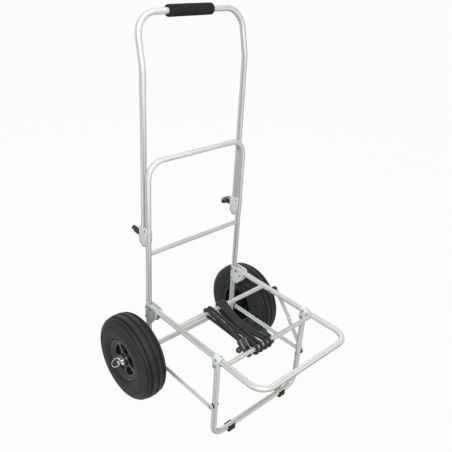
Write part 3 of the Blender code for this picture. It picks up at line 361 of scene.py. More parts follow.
def tyre_rubber(name, side):
    material, tree, shader = blank(name)
    shader.inputs["IOR"].default_value = 1.52
    shader.inputs["Specular IOR Level"].default_value = 0.3
    place = add(tree, "ShaderNodeTexCoord").outputs["Object"]
    centred = add(
        tree,
        "ShaderNodeVectorMath",
        {0: place, 1: (side * HALF_TRACK, AXLE_Y, WHEEL_RADIUS)},
        operation="SUBTRACT",
    ).outputs["Vector"]
    parts = add(tree, "ShaderNodeSeparateXYZ", {"Vector": centred}).outputs
    flat = add(tree, "ShaderNodeCombineXYZ", {"X": parts["Y"], "Y": parts["Z"]}).outputs["Vector"]
    angle = add(tree, "ShaderNodeTexGradient", {"Vector": flat}, gradient_type="RADIAL")
    reach = add(tree, "ShaderNodeVectorMath", {0: flat}, operation="LENGTH").outputs["Value"]
    turns = maths(tree, "MULTIPLY", angle.outputs["Fac"], TEETH)
    saw_tooth = maths(tree, "FRACT", turns)
    tops = between(tree, saw_tooth, 0.08, 0.42, 0.04)
    gaps = between(tree, saw_tooth, 0.54, 0.96, 0.03)
    band = between(tree, reach, TEETH_INNER, TEETH_OUTER, 0.0004)
    tread = between(tree, reach, TREAD_INNER, TREAD_OUTER, 0.0012)
    dust = noise(tree, stretched(tree, place, (1 / 0.02,) * 3), 4, 0.6)
    skin = tones(tree, dust, [(0.3, "#191c1b"), (0.55, "#212423"), (0.75, "#2e302d")])
    dusty = mixed(tree, maths(tree, "MULTIPLY", tread, dust), skin, colour("#34322c"))
    # Painted highlight: the tops of the shoulder teeth are a lighter blue-grey.
    tops_in_painted_highlight = mixed(tree, maths(tree, "MULTIPLY", tops, band), dusty, colour("#3f4443"))
    # Painted shade: the gaps between the teeth are nearly black.
    gaps_in_painted_shade = mixed(tree, maths(tree, "MULTIPLY", gaps, band), tops_in_painted_highlight, colour("#0b0c0c"))
    paint(tree, shader, gaps_in_painted_shade, levels(tree, dust, 0.5, 0.75))
    rings = maths(tree, "MULTIPLY", reach, 2 * math.pi / RING_SPACING)
    bump(tree, shader, maths(tree, "SINE", rings), RING_HEIGHT, 0.5)
    return material


TYRE = {name: tyre_rubber(f"black_tyre_rubber_{name}", side) for name, side in SIDES.items()}
print([material.name for material in TYRE.values()])

# %% [markdown]
# The rims and the wing knobs are injection moulded: the rims from glass filled nylon with a
# fine spark texture, the knobs and spacers from smoother black plastic. The cord's hooks are
# nylon with a faint blue cast and a brighter sheen. The feet are plain rubber. The handle's grip
# is closed-cell foam, whose cut cells, about a millimetre across, make it look velvety.


# %% Moulded plastics, rubber and foam
def moulded(name, dark, light, rough, grain_size, depth, patch, shine=0.5):
    """Moulded or cellular surfaces: a grain of one size over broad, faint patches."""
    material, tree, shader = blank(name)
    shader.inputs["IOR"].default_value = 1.53
    shader.inputs["Specular IOR Level"].default_value = shine
    place = add(tree, "ShaderNodeTexCoord").outputs["Object"]
    grain = noise(tree, stretched(tree, place, (1 / grain_size,) * 3), 3, 0.6)
    wear = noise(tree, stretched(tree, place, (1 / patch,) * 3), 3, 0.5)
    skin = tones(tree, wear, [(0.3, dark), (0.7, light)])
    paint(tree, shader, skin, levels(tree, wear, rough - 0.06, rough + 0.08))
    bump(tree, shader, grain, depth, 0.5)
    return material


RIM_NYLON = moulded("moulded_black_nylon", "#121519", "#1c2025", 0.32, 0.0012, 0.00006, 0.02)
BLACK_PLASTIC = moulded(
    "glossy_black_plastic", "#0d0f12", "#15181c", 0.2, 0.004, 0.00002, 0.015, 0.4
)
HOOK_NYLON = moulded(
    "blue_black_hook_nylon", "#0f1317", "#1b2129", 0.34, 0.004, 0.00002, 0.012, 0.6
)
RUBBER = moulded("black_foot_rubber", "#161616", "#20201f", 0.72, 0.001, 0.00008, 0.01, 0.3)
FOAM = moulded("closed_cell_foam", "#202221", "#282b2a", 0.9, 0.0011, 0.0003, 0.012, 0.2)
print(RIM_NYLON.name, BLACK_PLASTIC.name, HOOK_NYLON.name, RUBBER.name, FOAM.name)

# %% [markdown]
# ## Shaping helpers
#
# Pieces are made as one would by hand. An operator acts on everything that is selected, and the
# import leaves the CAD nodes selected, so each step starts by deselecting all. When a piece is
# done, its place is applied to its mesh, it gets its finish and rides on its CAD body.


# %% Helpers for pieces
def only(piece):
    """Selects this object and nothing else."""
    bpy.ops.object.select_all(action="DESELECT")
    piece.select_set(True)
    bpy.context.view_layer.objects.active = piece


def named(name):
    """Names the object that an operator has just added, and applies its place."""
    piece = bpy.context.object
    piece.name = name
    piece.data.name = name
    only(piece)
    bpy.ops.object.transform_apply(location=True, rotation=True, scale=True)
    return piece


def dress(piece, body, material, *nodes):
    """Finishes a piece: its material, its CAD body and the nodes that it stands for."""
    piece.data.materials.clear()
    piece.data.materials.append(material)
    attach(piece, body)
    if nodes:
        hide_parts(*nodes)
    return piece


def smooth(piece, angle=35):
    only(piece)
    bpy.ops.object.shade_smooth_by_angle(angle=math.radians(angle))
    return piece


def bevelled(piece, width, angle):
    """Two narrow faces along each edge that is sharper than the angle."""
    bevel = piece.modifiers.new("edges", "BEVEL")
    bevel.width = width
    bevel.segments = 2
    bevel.limit_method = "ANGLE"
    bevel.angle_limit = math.radians(angle)
    bpy.ops.object.modifier_apply(modifier=bevel.name)


def cut_away(piece, cutter, solver):
    """Cuts the cutter's shape out of the piece, and removes the cutter."""
    cut = piece.modifiers.new("cut", "BOOLEAN")
    cut.operation = "DIFFERENCE"
    cut.solver = solver
    cut.object = cutter
    only(piece)
    bpy.ops.object.modifier_apply(modifier=cut.name)
    bpy.data.objects.remove(cutter)


BODY_OF = {
    node: body for body, nodes in frame["record"]["behaviour"]["bodies"].items() for node in nodes
}
print("bodies:", sorted(set(BODY_OF.values())))

# %% [markdown]
# ## Bent tubes
#
# A tube bender pushes a straight tube round a die. The same can be done in edit mode: a ring of
# 32 edges is extruded along each straight run and spun round the centre of each bend. Each ring
# keeps its order, so the UV map that carries the drawing marks can be laid by counting rings.
# Solidify then gives the wall, inwards, so the open ends show their thickness.


# %% Tube bender
RING = 32
BEND_STEP = math.radians(7)


def bending_plan(corners, radii):
    """The straight runs and the bends of a tube that is given by its sharp corners."""
    place = corners[0]
    plan = []
    for before, corner, after, radius in zip(corners, corners[1:], corners[2:], radii):
        behind = (before - corner).normalized()
        ahead = (after - corner).normalized()
        turn = math.pi - behind.angle(ahead)
        reach = radius * math.tan(turn / 2)
        centre = corner + (behind + ahead).normalized() * radius / math.cos(turn / 2)
        plan.append((corner + behind * reach - place, None))
        plan.append((centre, (behind.cross(ahead).normalized(), turn, radius)))
        place = corner + ahead * reach
    plan.append((corners[-1] - place, None))
    return plan


def bent_tube(name, corners, radii, radius=TUBE_RADIUS, wall=TUBE_WALL):
    """An open tube along the corners, with its UV map in metres."""
    facing = (corners[1] - corners[0]).to_track_quat("Z", "Y").to_euler()
    bpy.ops.object.select_all(action="DESELECT")
    bpy.ops.mesh.primitive_circle_add(
        vertices=RING, radius=radius, location=corners[0], rotation=facing
    )
    tube = named(name)
    distances = [0.0]
    bpy.ops.object.mode_set(mode="EDIT")
    bpy.ops.mesh.select_all(action="SELECT")
    for vector, bend in bending_plan(corners, radii):
        if bend is None:
            bpy.ops.mesh.extrude_edges_move(TRANSFORM_OT_translate={"value": vector})
            distances.append(distances[-1] + vector.length)
            continue
        axis, turn, bend_radius = bend
        steps = max(3, round(turn / BEND_STEP))
        bpy.ops.mesh.spin(steps=steps, angle=turn, center=vector, axis=axis)
        for _ in range(steps):
            distances.append(distances[-1] + bend_radius * turn / steps)
    bpy.ops.mesh.select_all(action="SELECT")
    bpy.ops.mesh.normals_make_consistent(inside=False)
    bpy.ops.object.mode_set(mode="OBJECT")
    lay_along(tube, distances, radius)
    skin = tube.modifiers.new("wall", "SOLIDIFY")
    skin.thickness = wall
    skin.offset = -1
    bpy.ops.object.modifier_apply(modifier=skin.name)
    return smooth(tube, 40)


def lay_along(tube, distances, radius):
    """The UV map: across is the way round the tube and up is the way along it, in metres."""
    layer = tube.data.uv_layers.new(name="along")
    step = 2 * math.pi * radius / RING
    for face in tube.data.polygons:
        places = [tube.data.loops[i].vertex_index % RING for i in face.loop_indices]
        wraps = max(places) - min(places) > RING / 2
        for i, place in zip(face.loop_indices, places):
            across = place + RING if wraps and place < RING / 2 else place
            ring = tube.data.loops[i].vertex_index // RING
            layer.data[i].uv = (across * step, distances[ring])


print("one ring has", RING, "edges")

# %% [markdown]
# The back frame is an upside-down U: up the left side, over the top and down to the axle on the
# right. The telescopic handle slides behind it. It has two bends at its top bar and two gentle
# ones where it leans back to the hand. The platform is a U that lies flat, and the leg a U that
# stands upright.

# %% The four bent tubes
HANDLE_LEAN = (HANDLE_HEIGHT - HANDLE_KINK) * math.tan(math.radians(12))
BACK_FOOT = 0.118
LEG_TOP = 0.2715
RAIL_END = 0.012


def u_shape(ends, turns):
    """The four corners of a U across the trolley, from the left side to the right."""
    left = [at(-HALF_WIDTH, *ends), at(-HALF_WIDTH, *turns)]
    return left + [at(HALF_WIDTH, *turns), at(HALF_WIDTH, *ends)]


back_corners = u_shape((0, BACK_FOOT), (0, BACK_HEIGHT))
back_tube = bent_tube("back_tube", back_corners, (0.046, 0.046))
platform_corners = u_shape((RAIL_END, RAIL_HEIGHT), (PLATFORM_REACH, RAIL_HEIGHT))
platform_tube = bent_tube("platform_tube", platform_corners, (0.042, 0.042))
leg_corners = u_shape((LEG_REACH, LEG_TOP), (LEG_REACH, LEG_BAR_HEIGHT))
leg_tube = bent_tube("leg_tube", leg_corners, (0.037, 0.037))
handle_corners = u_shape((-HANDLE_BACK, HANDLE_FOOT), (-HANDLE_BACK, HANDLE_KINK))
handle_top = -HANDLE_BACK - HANDLE_LEAN
handle_corners[2:2] = [at(side * HALF_WIDTH, handle_top, HANDLE_HEIGHT) for side in (-1, 1)]
upper_tube = bent_tube("handle_bow", handle_corners, (0.120, 0.054, 0.054, 0.120))
dress(back_tube, "back", ANODISED, "back_frame")
dress(platform_tube, "platform", ANODISED, "platform_frame")
dress(leg_tube, "leg", ANODISED, "leg_frame")
dress(upper_tube, "handle", ANODISED, "handle_tube")
for piece in (back_tube, platform_tube, leg_tube, upper_tube):
    print(piece.name, len(piece.data.polygons), "faces")

# %% [markdown]
# The crossbars are thinner tube. Their ends are cut with a hole saw to the shape of the side
# tubes, so that they sit against them without a gap. A Boolean with a cylinder does the same
# here. The axle runs in a bright tube of its own between the two back tubes.


# %% Crossbars and axle tube
def saw(piece, place, radius, turn):
    """Cuts a round hole through the piece. The turn lays the saw's axis."""
    bpy.ops.object.select_all(action="DESELECT")
    bpy.ops.mesh.primitive_cylinder_add(
        vertices=64, radius=radius, depth=0.04, location=place, rotation=turn
    )
    cut_away(piece, bpy.context.object, "EXACT")


UPRIGHT = (0, 0, 0)
LYING = (math.pi / 2, 0, 0)
CROSSBARS = [
    ("back", "back_crossbar", 0, BACK_BAR_HEIGHT, UPRIGHT),
    ("platform", "rear_crossbar", REAR_BAR, RAIL_HEIGHT, LYING),
    ("platform", "front_crossbar", FRONT_BAR, RAIL_HEIGHT, LYING),
]
for body, node, forward, height, turn in CROSSBARS:
    ends = [at(side * HALF_WIDTH, forward, height) for side in (-1, 1)]
    bar = bent_tube(f"{node}_drawn", ends, (), BAR_RADIUS, BAR_WALL)
    for end in ends:
        saw(bar, end, TUBE_RADIUS + SEAT, turn)
    dress(smooth(bar, 40), body, DRAWN, node)
    print(bar.name, len(bar.data.polygons), "faces")
AXLE_HALF = 0.1519
AXLE_TUBE_WALL = 0.0027
sleeve_ends = [at(side * AXLE_HALF, 0, WHEEL_RADIUS) for side in (-1, 1)]
sleeve = bent_tube("axle_tube_drawn", sleeve_ends, (), TUBE_RADIUS, AXLE_TUBE_WALL)
dress(sleeve, "back", DRAWN, "axle_tube")

# %% [markdown]
# ## Turned pieces
#
# Tyres, rims and the grip are round about an axle. A lathe turns them from one profile. In
# Blender one vertex is extruded from point to point along the profile, and the line is spun a
# full turn about the axle. A closed profile gives a ring with a hole.


# %% Lathe
def drawn(name, centre, places, closed=True):
    """A line from place to place, given from the centre, drawn by extruding one vertex."""
    bpy.ops.object.select_all(action="DESELECT")
    bpy.ops.mesh.primitive_plane_add(size=0.01, location=centre)
    piece = named(name)
    bpy.ops.object.mode_set(mode="EDIT")
    bpy.ops.mesh.select_mode(type="VERT")
    bpy.ops.mesh.select_all(action="SELECT")
    bpy.ops.mesh.merge(type="CENTER")
    bpy.ops.transform.translate(value=places[0])
    followed = places[1:] + places[:1] if closed else places[1:]
    for before, after in zip(places, followed):
        step = Vector(after) - Vector(before)
        bpy.ops.mesh.extrude_vertices_move(TRANSFORM_OT_translate={"value": step})
    bpy.ops.mesh.select_all(action="SELECT")
    return piece


def lathe(name, profile, centre, steps, closed=True):
    """A profile of (radius, distance along X) points, spun about an axis along X."""
    piece = drawn(name, centre, [(along, 0, radius) for radius, along in profile], closed)
    bpy.ops.mesh.spin(steps=steps, angle=2 * math.pi, center=centre, axis=(1, 0, 0))
    bpy.ops.mesh.select_all(action="SELECT")
    bpy.ops.mesh.remove_doubles(threshold=1e-6)
    bpy.ops.mesh.normals_make_consistent(inside=False)
    bpy.ops.object.mode_set(mode="OBJECT")
    return piece


print("lathe ready")

# %% [markdown]
# The tyre is a 260 x 82 mm ribbed trolley tyre. Its half profile starts at the bead on the rim,
# swells over the wall, turns the shoulder and crosses the tread, which has a groove in the
# middle and one on each side. The other half is its mirror image, and the inside closes it.
#
# The wheel is turned in twice as many steps as its shoulder has teeth. Every second strip of
# faces on the shoulder is then inset and raised by 1.2 mm, which gives 160 teeth with sloping
# sides. The same selection, sunk by 0.6 mm, cuts the small sipes in the tread's ribs.

# %% Tyres
WALL_AND_TREAD = [
    (0.0588, 0.0286),
    (0.0630, 0.0299),
    (0.0645, 0.0330),
    (0.0690, 0.0366),
    (0.0780, 0.0397),
    (0.0880, 0.0408),
    (0.0985, 0.0404),
    (0.1000, 0.0394),
    (0.1020, 0.0390),
    (0.1090, 0.0374),
    (0.1160, 0.0342),
    (0.1205, 0.0306),
    (0.1225, 0.0300),
    (0.1250, 0.0262),
    (0.1264, 0.0240),
    (0.1262, 0.0232),
    (0.1228, 0.0224),
    (0.1228, 0.0182),
    (0.1274, 0.0172),
    (0.1283, 0.0145),
    (0.1292, 0.0104),
    (0.1298, 0.0046),
    (0.1294, 0.0036),
    (0.1256, 0.0026),
]
HALF_INSIDE = [(0.0588, -0.0230), (0.0975, -0.0350), (0.1240, -0.0180)]
TYRE_INSIDE = HALF_INSIDE + [(radius, -along) for radius, along in reversed(HALF_INSIDE)]
SIPES_INNER = 0.1274
SIPES_OUTER = 0.1283
TOOTH_HEIGHT = 0.0012
SIPE_DEPTH = 0.0006
SLOPE = 0.0003


def every_second(tyre, centre, low, high, depth):
    """Insets every second face strip between two radii on the outside, and lifts or sinks it."""
    for face in tyre.data.polygons:
        reach = face.center - centre
        radius = math.hypot(reach.y, reach.z)
        turn = math.atan2(reach.z, reach.y) / (2 * math.pi) % 1
        outside = face.normal.dot(Vector((0, reach.y, reach.z))) + face.normal.x * reach.x > 0
        face.select = low < radius < high and outside and int(2 * TEETH * turn) % 2 == 0
    bpy.ops.object.mode_set(mode="EDIT")
    bpy.ops.mesh.select_mode(type="FACE")
    bpy.ops.mesh.inset(thickness=SLOPE, depth=depth)
    bpy.ops.object.mode_set(mode="OBJECT")


for name, side in SIDES.items():
    centre = Vector((side * HALF_TRACK, AXLE_Y, WHEEL_RADIUS))
    other_half = [(radius, -along) for radius, along in reversed(WALL_AND_TREAD)]
    profile = WALL_AND_TREAD + other_half + TYRE_INSIDE
    tyre = lathe(f"ribbed_tyre_{name}", profile, centre, 2 * TEETH)
    bpy.ops.object.mode_set(mode="EDIT")
    bpy.ops.mesh.select_all(action="DESELECT")
    bpy.ops.object.mode_set(mode="OBJECT")
    every_second(tyre, centre, TEETH_INNER, TEETH_OUTER, TOOTH_HEIGHT)
    every_second(tyre, centre, SIPES_INNER, SIPES_OUTER, -SIPE_DEPTH)
    smooth(tyre, 38)
    dress(tyre, f"{name}_wheel", TYRE[name], f"tyre_{name}")
    print(tyre.name, len(tyre.data.polygons), "faces")

# %% [markdown]
# The rim is moulded in nylon: a barrel with a rounded lip at each edge, a hub, and a web with
# five pockets that leave spokes between them. The barrel, web and hub are turned as one profile.
# A pocket's outline is drawn as a sector with rounded corners, made solid and cut through, and a
# thin disc then closes the pockets halfway, as the moulding does.

# %% Rims
SPOKES = 5
HALF_SPOKE = 0.0055
POCKET_INNER = 0.0225
POCKET_OUTER = 0.0480
POCKET_CORNER = 0.004
INNER_POINTS = 5
OUTER_POINTS = 9
RIM_EDGE = 0.0008
RIM_SECTION = [
    (0.0585, 0.0288),
    (0.0626, 0.0306),
    (0.0630, 0.0312),
    (0.0630, 0.0330),
    (0.0624, 0.0335),
    (0.0594, 0.0335),
    (0.0584, 0.0328),
]
WEB_SECTION = [
    (0.0552, 0.0282),
    (0.0540, 0.0262),
    (0.0515, 0.0255),
    (0.0215, 0.0255),
    (0.0192, 0.0262),
    (0.0176, 0.0285),
    (0.0172, 0.0342),
    (0.0164, 0.0350),
    (0.0053, 0.0350),
]
WEB_BACK = [
    (0.0053, -0.0416),
    (0.0158, -0.0416),
    (0.0165, -0.0410),
    (0.0178, -0.0100),
    (0.0188, 0.0060),
    (0.0205, 0.0075),
    (0.0515, 0.0075),
    (0.0540, 0.0060),
]
POCKET_FLOOR = [(0.0195, 0.0135), (0.0530, 0.0135), (0.0530, 0.0160), (0.0195, 0.0160)]


def pocket_outline(middle):
    """Inner arc, then outer arc back, between two spokes of an even width."""
    half_share = math.pi / SPOKES
    inner, outer = (POCKET_INNER, -1, INNER_POINTS), (POCKET_OUTER, 1, OUTER_POINTS)
    outline = []
    for radius, first, count in (inner, outer):
        spread = half_share - math.asin(HALF_SPOKE / radius)
        for i in range(count):
            turn = middle + first * spread * (1 - 2 * i / (count - 1))
            outline.append((0, radius * math.cos(turn), radius * math.sin(turn)))
    return outline


def cut_pocket(rim, centre, middle):
    """Cuts one pocket with rounded corners right through the web."""
    start = centre - Vector((0.05, 0, 0))
    cutter = drawn("pocket", start, pocket_outline(middle))
    bpy.ops.mesh.remove_doubles(threshold=1e-6)
    bpy.ops.mesh.edge_face_add()
    bpy.ops.object.mode_set(mode="OBJECT")
    corners = (0, INNER_POINTS - 1, INNER_POINTS, INNER_POINTS + OUTER_POINTS - 1)
    for vertex in cutter.data.vertices:
        vertex.select = vertex.index in corners
    for piece in list(cutter.data.polygons) + list(cutter.data.edges):
        piece.select = False
    bpy.ops.object.mode_set(mode="EDIT")
    bpy.ops.mesh.select_mode(type="VERT")
    bpy.ops.mesh.bevel(offset=POCKET_CORNER, segments=4, affect="VERTICES")
    bpy.ops.mesh.select_all(action="SELECT")
    bpy.ops.mesh.extrude_region_move(TRANSFORM_OT_translate={"value": (0.1, 0, 0)})
    bpy.ops.mesh.select_all(action="SELECT")
    bpy.ops.mesh.normals_make_consistent(inside=False)
    bpy.ops.object.mode_set(mode="OBJECT")
    cut_away(rim, cutter, "MANIFOLD")


for name, side in SIDES.items():
    centre = Vector((side * HALF_TRACK, AXLE_Y, WHEEL_RADIUS))
    far_lip = [(radius, -along) for radius, along in reversed(RIM_SECTION)]
    profile = RIM_SECTION + WEB_SECTION + WEB_BACK + far_lip
    rim = lathe(f"rim_{name}_moulded", [(r, side * x) for r, x in profile], centre, 96)
    for i in range(SPOKES):
        cut_pocket(rim, centre, math.pi / 2 + i * 2 * math.pi / SPOKES)
    bevelled(rim, RIM_EDGE, 40)
    smooth(rim)
    dress(rim, f"{name}_wheel", RIM_NYLON, f"rim_{name}")
    floor_section = [(radius, side * along) for radius, along in POCKET_FLOOR]
    pockets = smooth(lathe(f"pocket_floor_{name}", floor_section, centre, 64))
    dress(pockets, f"{name}_wheel", RIM_NYLON)
    print(rim.name, len(rim.data.polygons), "faces")

# %% [markdown]
# The grip is a sleeve of closed-cell foam, 141 mm long, pushed over the handle's top bar. It has
# slipped 7 mm to the left. Foam is soft, so its ends are well rounded, and it is a little thinner
# where hands have pressed it. The profile is turned, and a Subdivision Surface makes the
# rounding continuous.

# %% Foam grip
GRIP_HALF = 0.0705
GRIP_SHIFT = -0.007
GRIP_RADIUS = 0.01475
grip_profile = [
    (TUBE_RADIUS + SEAT, GRIP_HALF - 0.0005),
    (0.0105, GRIP_HALF),
    (0.0128, GRIP_HALF - 0.0004),
    (0.0143, GRIP_HALF - 0.0022),
    (GRIP_RADIUS, GRIP_HALF - 0.0055),
    (GRIP_RADIUS - 0.0002, 0.036),
    (GRIP_RADIUS, 0.012),
]
grip_profile += [(radius, -along) for radius, along in reversed(grip_profile)]
grip = lathe("foam_grip", grip_profile, at(GRIP_SHIFT, handle_top, HANDLE_HEIGHT), 40)
rounding = grip.modifiers.new("rounding", "SUBSURF")
rounding.levels = 1
rounding.render_levels = 1
only(grip)
bpy.ops.object.modifier_apply(modifier=rounding.name)
smooth(grip, 50)
dress(grip, "handle", FOAM, "handle_grip")
print(grip.name, len(grip.data.polygons), "faces")

# %% [markdown]
# ## Pressed and moulded hardware
#
# Brackets, clips, flat bars, knobs and bolts already have their real shape in CAD. Its mesh is
# loose triangles, each shaded flat, so each piece here is a welded copy. Flat faces are merged
# again, a small bevel catches light along the edges as a pressed or moulded edge does, and
# curved faces are shaded smoothly.


# %% Welded copies of the CAD hardware
def welded(node, suffix, material, edge=0.0, angle=35):
    """A welded, smoothly shaded copy that stands for the CAD node."""
    mesh = frame["nodes"][node].data.copy()
    piece = bpy.data.objects.new(f"{node}_{suffix}", mesh)
    mesh.name = piece.name
    bpy.context.scene.collection.objects.link(piece)
    only(piece)
    bpy.ops.mesh.customdata_custom_splitnormals_clear()
    bpy.ops.object.mode_set(mode="EDIT")
    bpy.ops.mesh.select_all(action="SELECT")
    bpy.ops.mesh.remove_doubles(threshold=1e-5)
    bpy.ops.mesh.dissolve_limited(angle_limit=math.radians(0.5))
    bpy.ops.object.mode_set(mode="OBJECT")
    if edge:
        bevelled(piece, edge, angle)
    smooth(piece, angle)
    return dress(piece, BODY_OF[node], material, node)


HARDWARE = [
    (ZINC, "plated", 0.0003, ["hinge_bracket", "clamp_bracket", "leg_clip"]),
    (FLAT_BAR, "rolled", 0.0003, ["strut"]),
    (STEEL, "polished", 0.0, ["axle_collar", "axle_spacer", "wheel_washer"]),
    (STEEL, "polished", 0.0, ["clamp_screw", "linch_pin", "linch_ring"]),
    (FASTENER, "plated", 0.0003, ["hinge_rivet_upper", "hinge_rivet_lower", "platform_bolt"]),
    (FASTENER, "plated", 0.0003, ["stop_pin", "leg_bolt", "strut_bolt"]),
    (BLACK_PLASTIC, "moulded", 0.0, ["strut_spacer"]),
    (RUBBER, "moulded", 0.0004, ["foot"]),
]
for material, suffix, edge, stems in HARDWARE:
    for stem in stems:
        for name in SIDES:
            welded(f"{stem}_{name}", suffix, material, edge)
SINGLE = [
    (FLAT_BAR, "rolled", ["stay_upper", "stay_lower"]),
    (STEEL, "polished", ["axle_rod"]),
    (FASTENER, "plated", ["stay_bolt"]),
    (BLACK_PLASTIC, "moulded", ["stay_spacer"]),
]
for material, suffix, nodes in SINGLE:
    for node in nodes:
        welded(node, suffix, material)
print("welded copies:", sum(o.hide_render for o in frame["nodes"].values()))

# %% [markdown]
# Two kinds of piece are open where the CAD model closes them. A rubber foot is a clip that is
# pushed on from below, so the tube's top stays bare between its two lips. A clamp bracket is a
# channel, and the back tube lies in its mouth. Bisect cuts a piece with a plane, clears one side
# and fills the cut. Rivets then hold the channel and the leg's clip: small domes, turned.

# %% Open clips and their rivets
LIP = 0.0045
MOUTH = 0.0035
SHEET_FACE = 0.0098
CLIP_RIVET = (0.298, 0.2868)
CLAMP_RIVET = (-0.0025, 0.5235)


def opened(piece, place, direction):
    """Clears what lies beyond a plane, and closes the cut."""
    only(piece)
    bpy.ops.object.mode_set(mode="EDIT")
    bpy.ops.mesh.select_all(action="SELECT")
    bpy.ops.mesh.bisect(plane_co=place, plane_no=direction, use_fill=True, clear_outer=True)
    bpy.ops.object.mode_set(mode="OBJECT")
    return piece


def rivet(name, body, place, facing):
    """A domed rivet head that faces along X, to the left or the right."""
    dome = [(0, 0.0016), (0.0014, 0.0015), (0.0026, 0.0011), (0.0034, 0.0003), (0.0034, -0.0006)]
    profile = [(radius, facing * along) for radius, along in dome]
    return dress(smooth(lathe(name, profile, place, 20, closed=False)), body, FASTENER)


for name, side in SIDES.items():
    foot = bpy.data.objects[f"foot_{name}_moulded"]
    opened(foot, (0, 0, LEG_BAR_HEIGHT + LIP), (0, 0, 1))
    bracket = bpy.data.objects[f"clamp_bracket_{name}_plated"]
    opened(bracket, at(0, MOUTH, 0), (0, -1, 0))
    for face in (-1, 1):
        x = side * HALF_WIDTH + face * SHEET_FACE
        at_side = "inner" if face * side < 0 else "outer"
        rivet(f"clip_rivet_{name}_{at_side}", "platform", at(x, *CLIP_RIVET), face)
        rivet(f"clamp_rivet_{name}_{at_side}", "back", at(x, *CLAMP_RIVET), face)

# %% [markdown]
# The wing knobs and the cord's hooks are moulded in one shot, so no edge on them is sharp and
# every joint between wing, hub and block is filleted. A voxel remesh of the welded CAD shape at
# 0.7 mm, followed by smoothing, melts hub and wings together in the same way.

# %% Wing knobs
VOXEL = 0.0007


def melted(piece, softness):
    """Fuses all shells of a piece and rounds every edge and corner."""
    only(piece)
    skin = piece.modifiers.new("skin", "REMESH")
    skin.mode = "VOXEL"
    skin.voxel_size = VOXEL
    bpy.ops.object.modifier_apply(modifier=skin.name)
    round_off = piece.modifiers.new("round_off", "SMOOTH")
    round_off.factor = 0.5
    round_off.iterations = softness
    bpy.ops.object.modifier_apply(modifier=round_off.name)
    bpy.ops.object.shade_smooth()
    return piece


for name in SIDES:
    knob = melted(welded(f"clamp_knob_{name}", "moulded", BLACK_PLASTIC), 8)
    print(knob.name, len(knob.data.polygons), "faces")

# %% [markdown]
# Each hook sits on the front bar at its own angle. Before it is melted, its claw is drawn in to
# a narrow finger under the bar, which blends into the block over 8 mm. The block gets two broad
# ribs along its back, which catch the light as streaks, and its thumb tab ends in a ball.

# %% Cord hooks
HOOKS = {"first": (-0.084, math.radians(40)), "last": (-0.002, math.radians(6))}
HOOK_LENGTH = 0.033
HOOK_REACH = 0.0093
HOOK_BLOCK = 0.014
CLAW_SHARE = 0.4
CLAW_ASIDE = -0.005
CLAW_END = 0.006
CLAW_BLEND = 0.008
TAB_END = (0.0165, 0.0265)
TAB_ASIDE = {"first": -0.0085, "last": 0.0085}
TAB_BALL = 0.0085
RIB_START = 0.0105
RIB_OVERHANG = 0.005
RIBS = ((-0.0088, 0.0066), (0.0083, 0.0048))


def hook_point(name, along, across, aside=0.0):
    """A point of a hook: along its shank from the bar's centre, across it and aside."""
    x, angle = HOOKS[name]
    back_by = along * math.cos(angle) + across * math.sin(angle)
    up_by = along * math.sin(angle) - across * math.cos(angle)
    return at(x + aside, FRONT_BAR - back_by, RAIL_HEIGHT + up_by)


def draw_in_claw(hook, name):
    """Narrows the claw, and fades the change out towards the block."""
    bar = hook_point(name, 0, 0)
    shank = (hook_point(name, 1, 0) - bar).normalized()
    for vertex in hook.data.vertices:
        share = min(max((CLAW_END - (vertex.co - bar).dot(shank)) / CLAW_BLEND, 0), 1)
        finger = bar.x + CLAW_ASIDE + (vertex.co.x - bar.x) * CLAW_SHARE
        vertex.co.x += (finger - vertex.co.x) * share


def rib(name, aside, radius):
    """A round rib along the back of the block."""
    top = HOOK_REACH - HOOK_BLOCK / 2
    low = hook_point(name, RIB_START, top, aside)
    high = hook_point(name, HOOK_LENGTH + RIB_OVERHANG, top, aside)
    bpy.ops.object.select_all(action="DESELECT")
    bpy.ops.mesh.primitive_cylinder_add(
        vertices=24,
        radius=radius,
        depth=(high - low).length,
        location=(low + high) / 2,
        rotation=(high - low).to_track_quat("Z", "Y").to_euler(),
    )
    return bpy.context.object


for name in HOOKS:
    hook = welded(f"bungee_hook_{name}", "moulded", HOOK_NYLON)
    draw_in_claw(hook, name)
    ball = hook_point(name, *TAB_END, TAB_ASIDE[name])
    bpy.ops.object.select_all(action="DESELECT")
    bpy.ops.mesh.primitive_uv_sphere_add(
        segments=24, ring_count=16, radius=TAB_BALL, location=ball
    )
    pieces = [hook, bpy.context.object]
    pieces += [rib(name, aside, radius) for aside, radius in RIBS]
    only(hook)
    for piece in pieces:
        piece.select_set(True)
    bpy.ops.object.join()
    melted(hook, 6)
    print(hook.name, len(hook.data.polygons), "faces")

# %% [markdown]
# ## Elastic cord
#
# A bungee cord is rubber strands in a tight braided sheath. Here it is hooked on the front bar,
# takes nine half turns back and forth round both bars, and ends in a second hook: about 2.2 m of
# 9 mm cord. It is never loose, so it is a winding on the platform and not a free cord. The route
# is made of those half turns and of runs that hang a little and draw together. It is then spaced
# evenly, which also rounds the places where a run meets a turn.

# %% Route of the cord
CORD = 0.009
CORD_SEAT = 0.0009
CORD_DEPTH = 0.004
CORD_DROP = math.radians(8)
CORD_DRIFT = 0.003
REAR_TURNS = (-0.061, -0.047, -0.015, -0.005, 0.005)
FRONT_TURNS = (-0.066, -0.050, -0.033, -0.0185)
MOST_SAG = 0.012
MOST_PULL = 0.009
TURN_STEPS = 12
RUN_STEPS = 16
CORD_STEP = 0.004


def cord_turn(x, forward, first, last):
    """Half a turn round a bar, between two angles seen from the right-hand side."""
    radius = BAR_RADIUS + CORD / 2 + CORD_SEAT
    points = []
    for i in range(TURN_STEPS + 1):
        angle = math.radians(first + (last - first) * i / TURN_STEPS)
        aside = x + CORD_DRIFT * (i / TURN_STEPS - 0.5)
        back_by = radius * math.cos(angle)
        points.append(at(aside, forward - back_by, RAIL_HEIGHT + radius * math.sin(angle)))
    return points


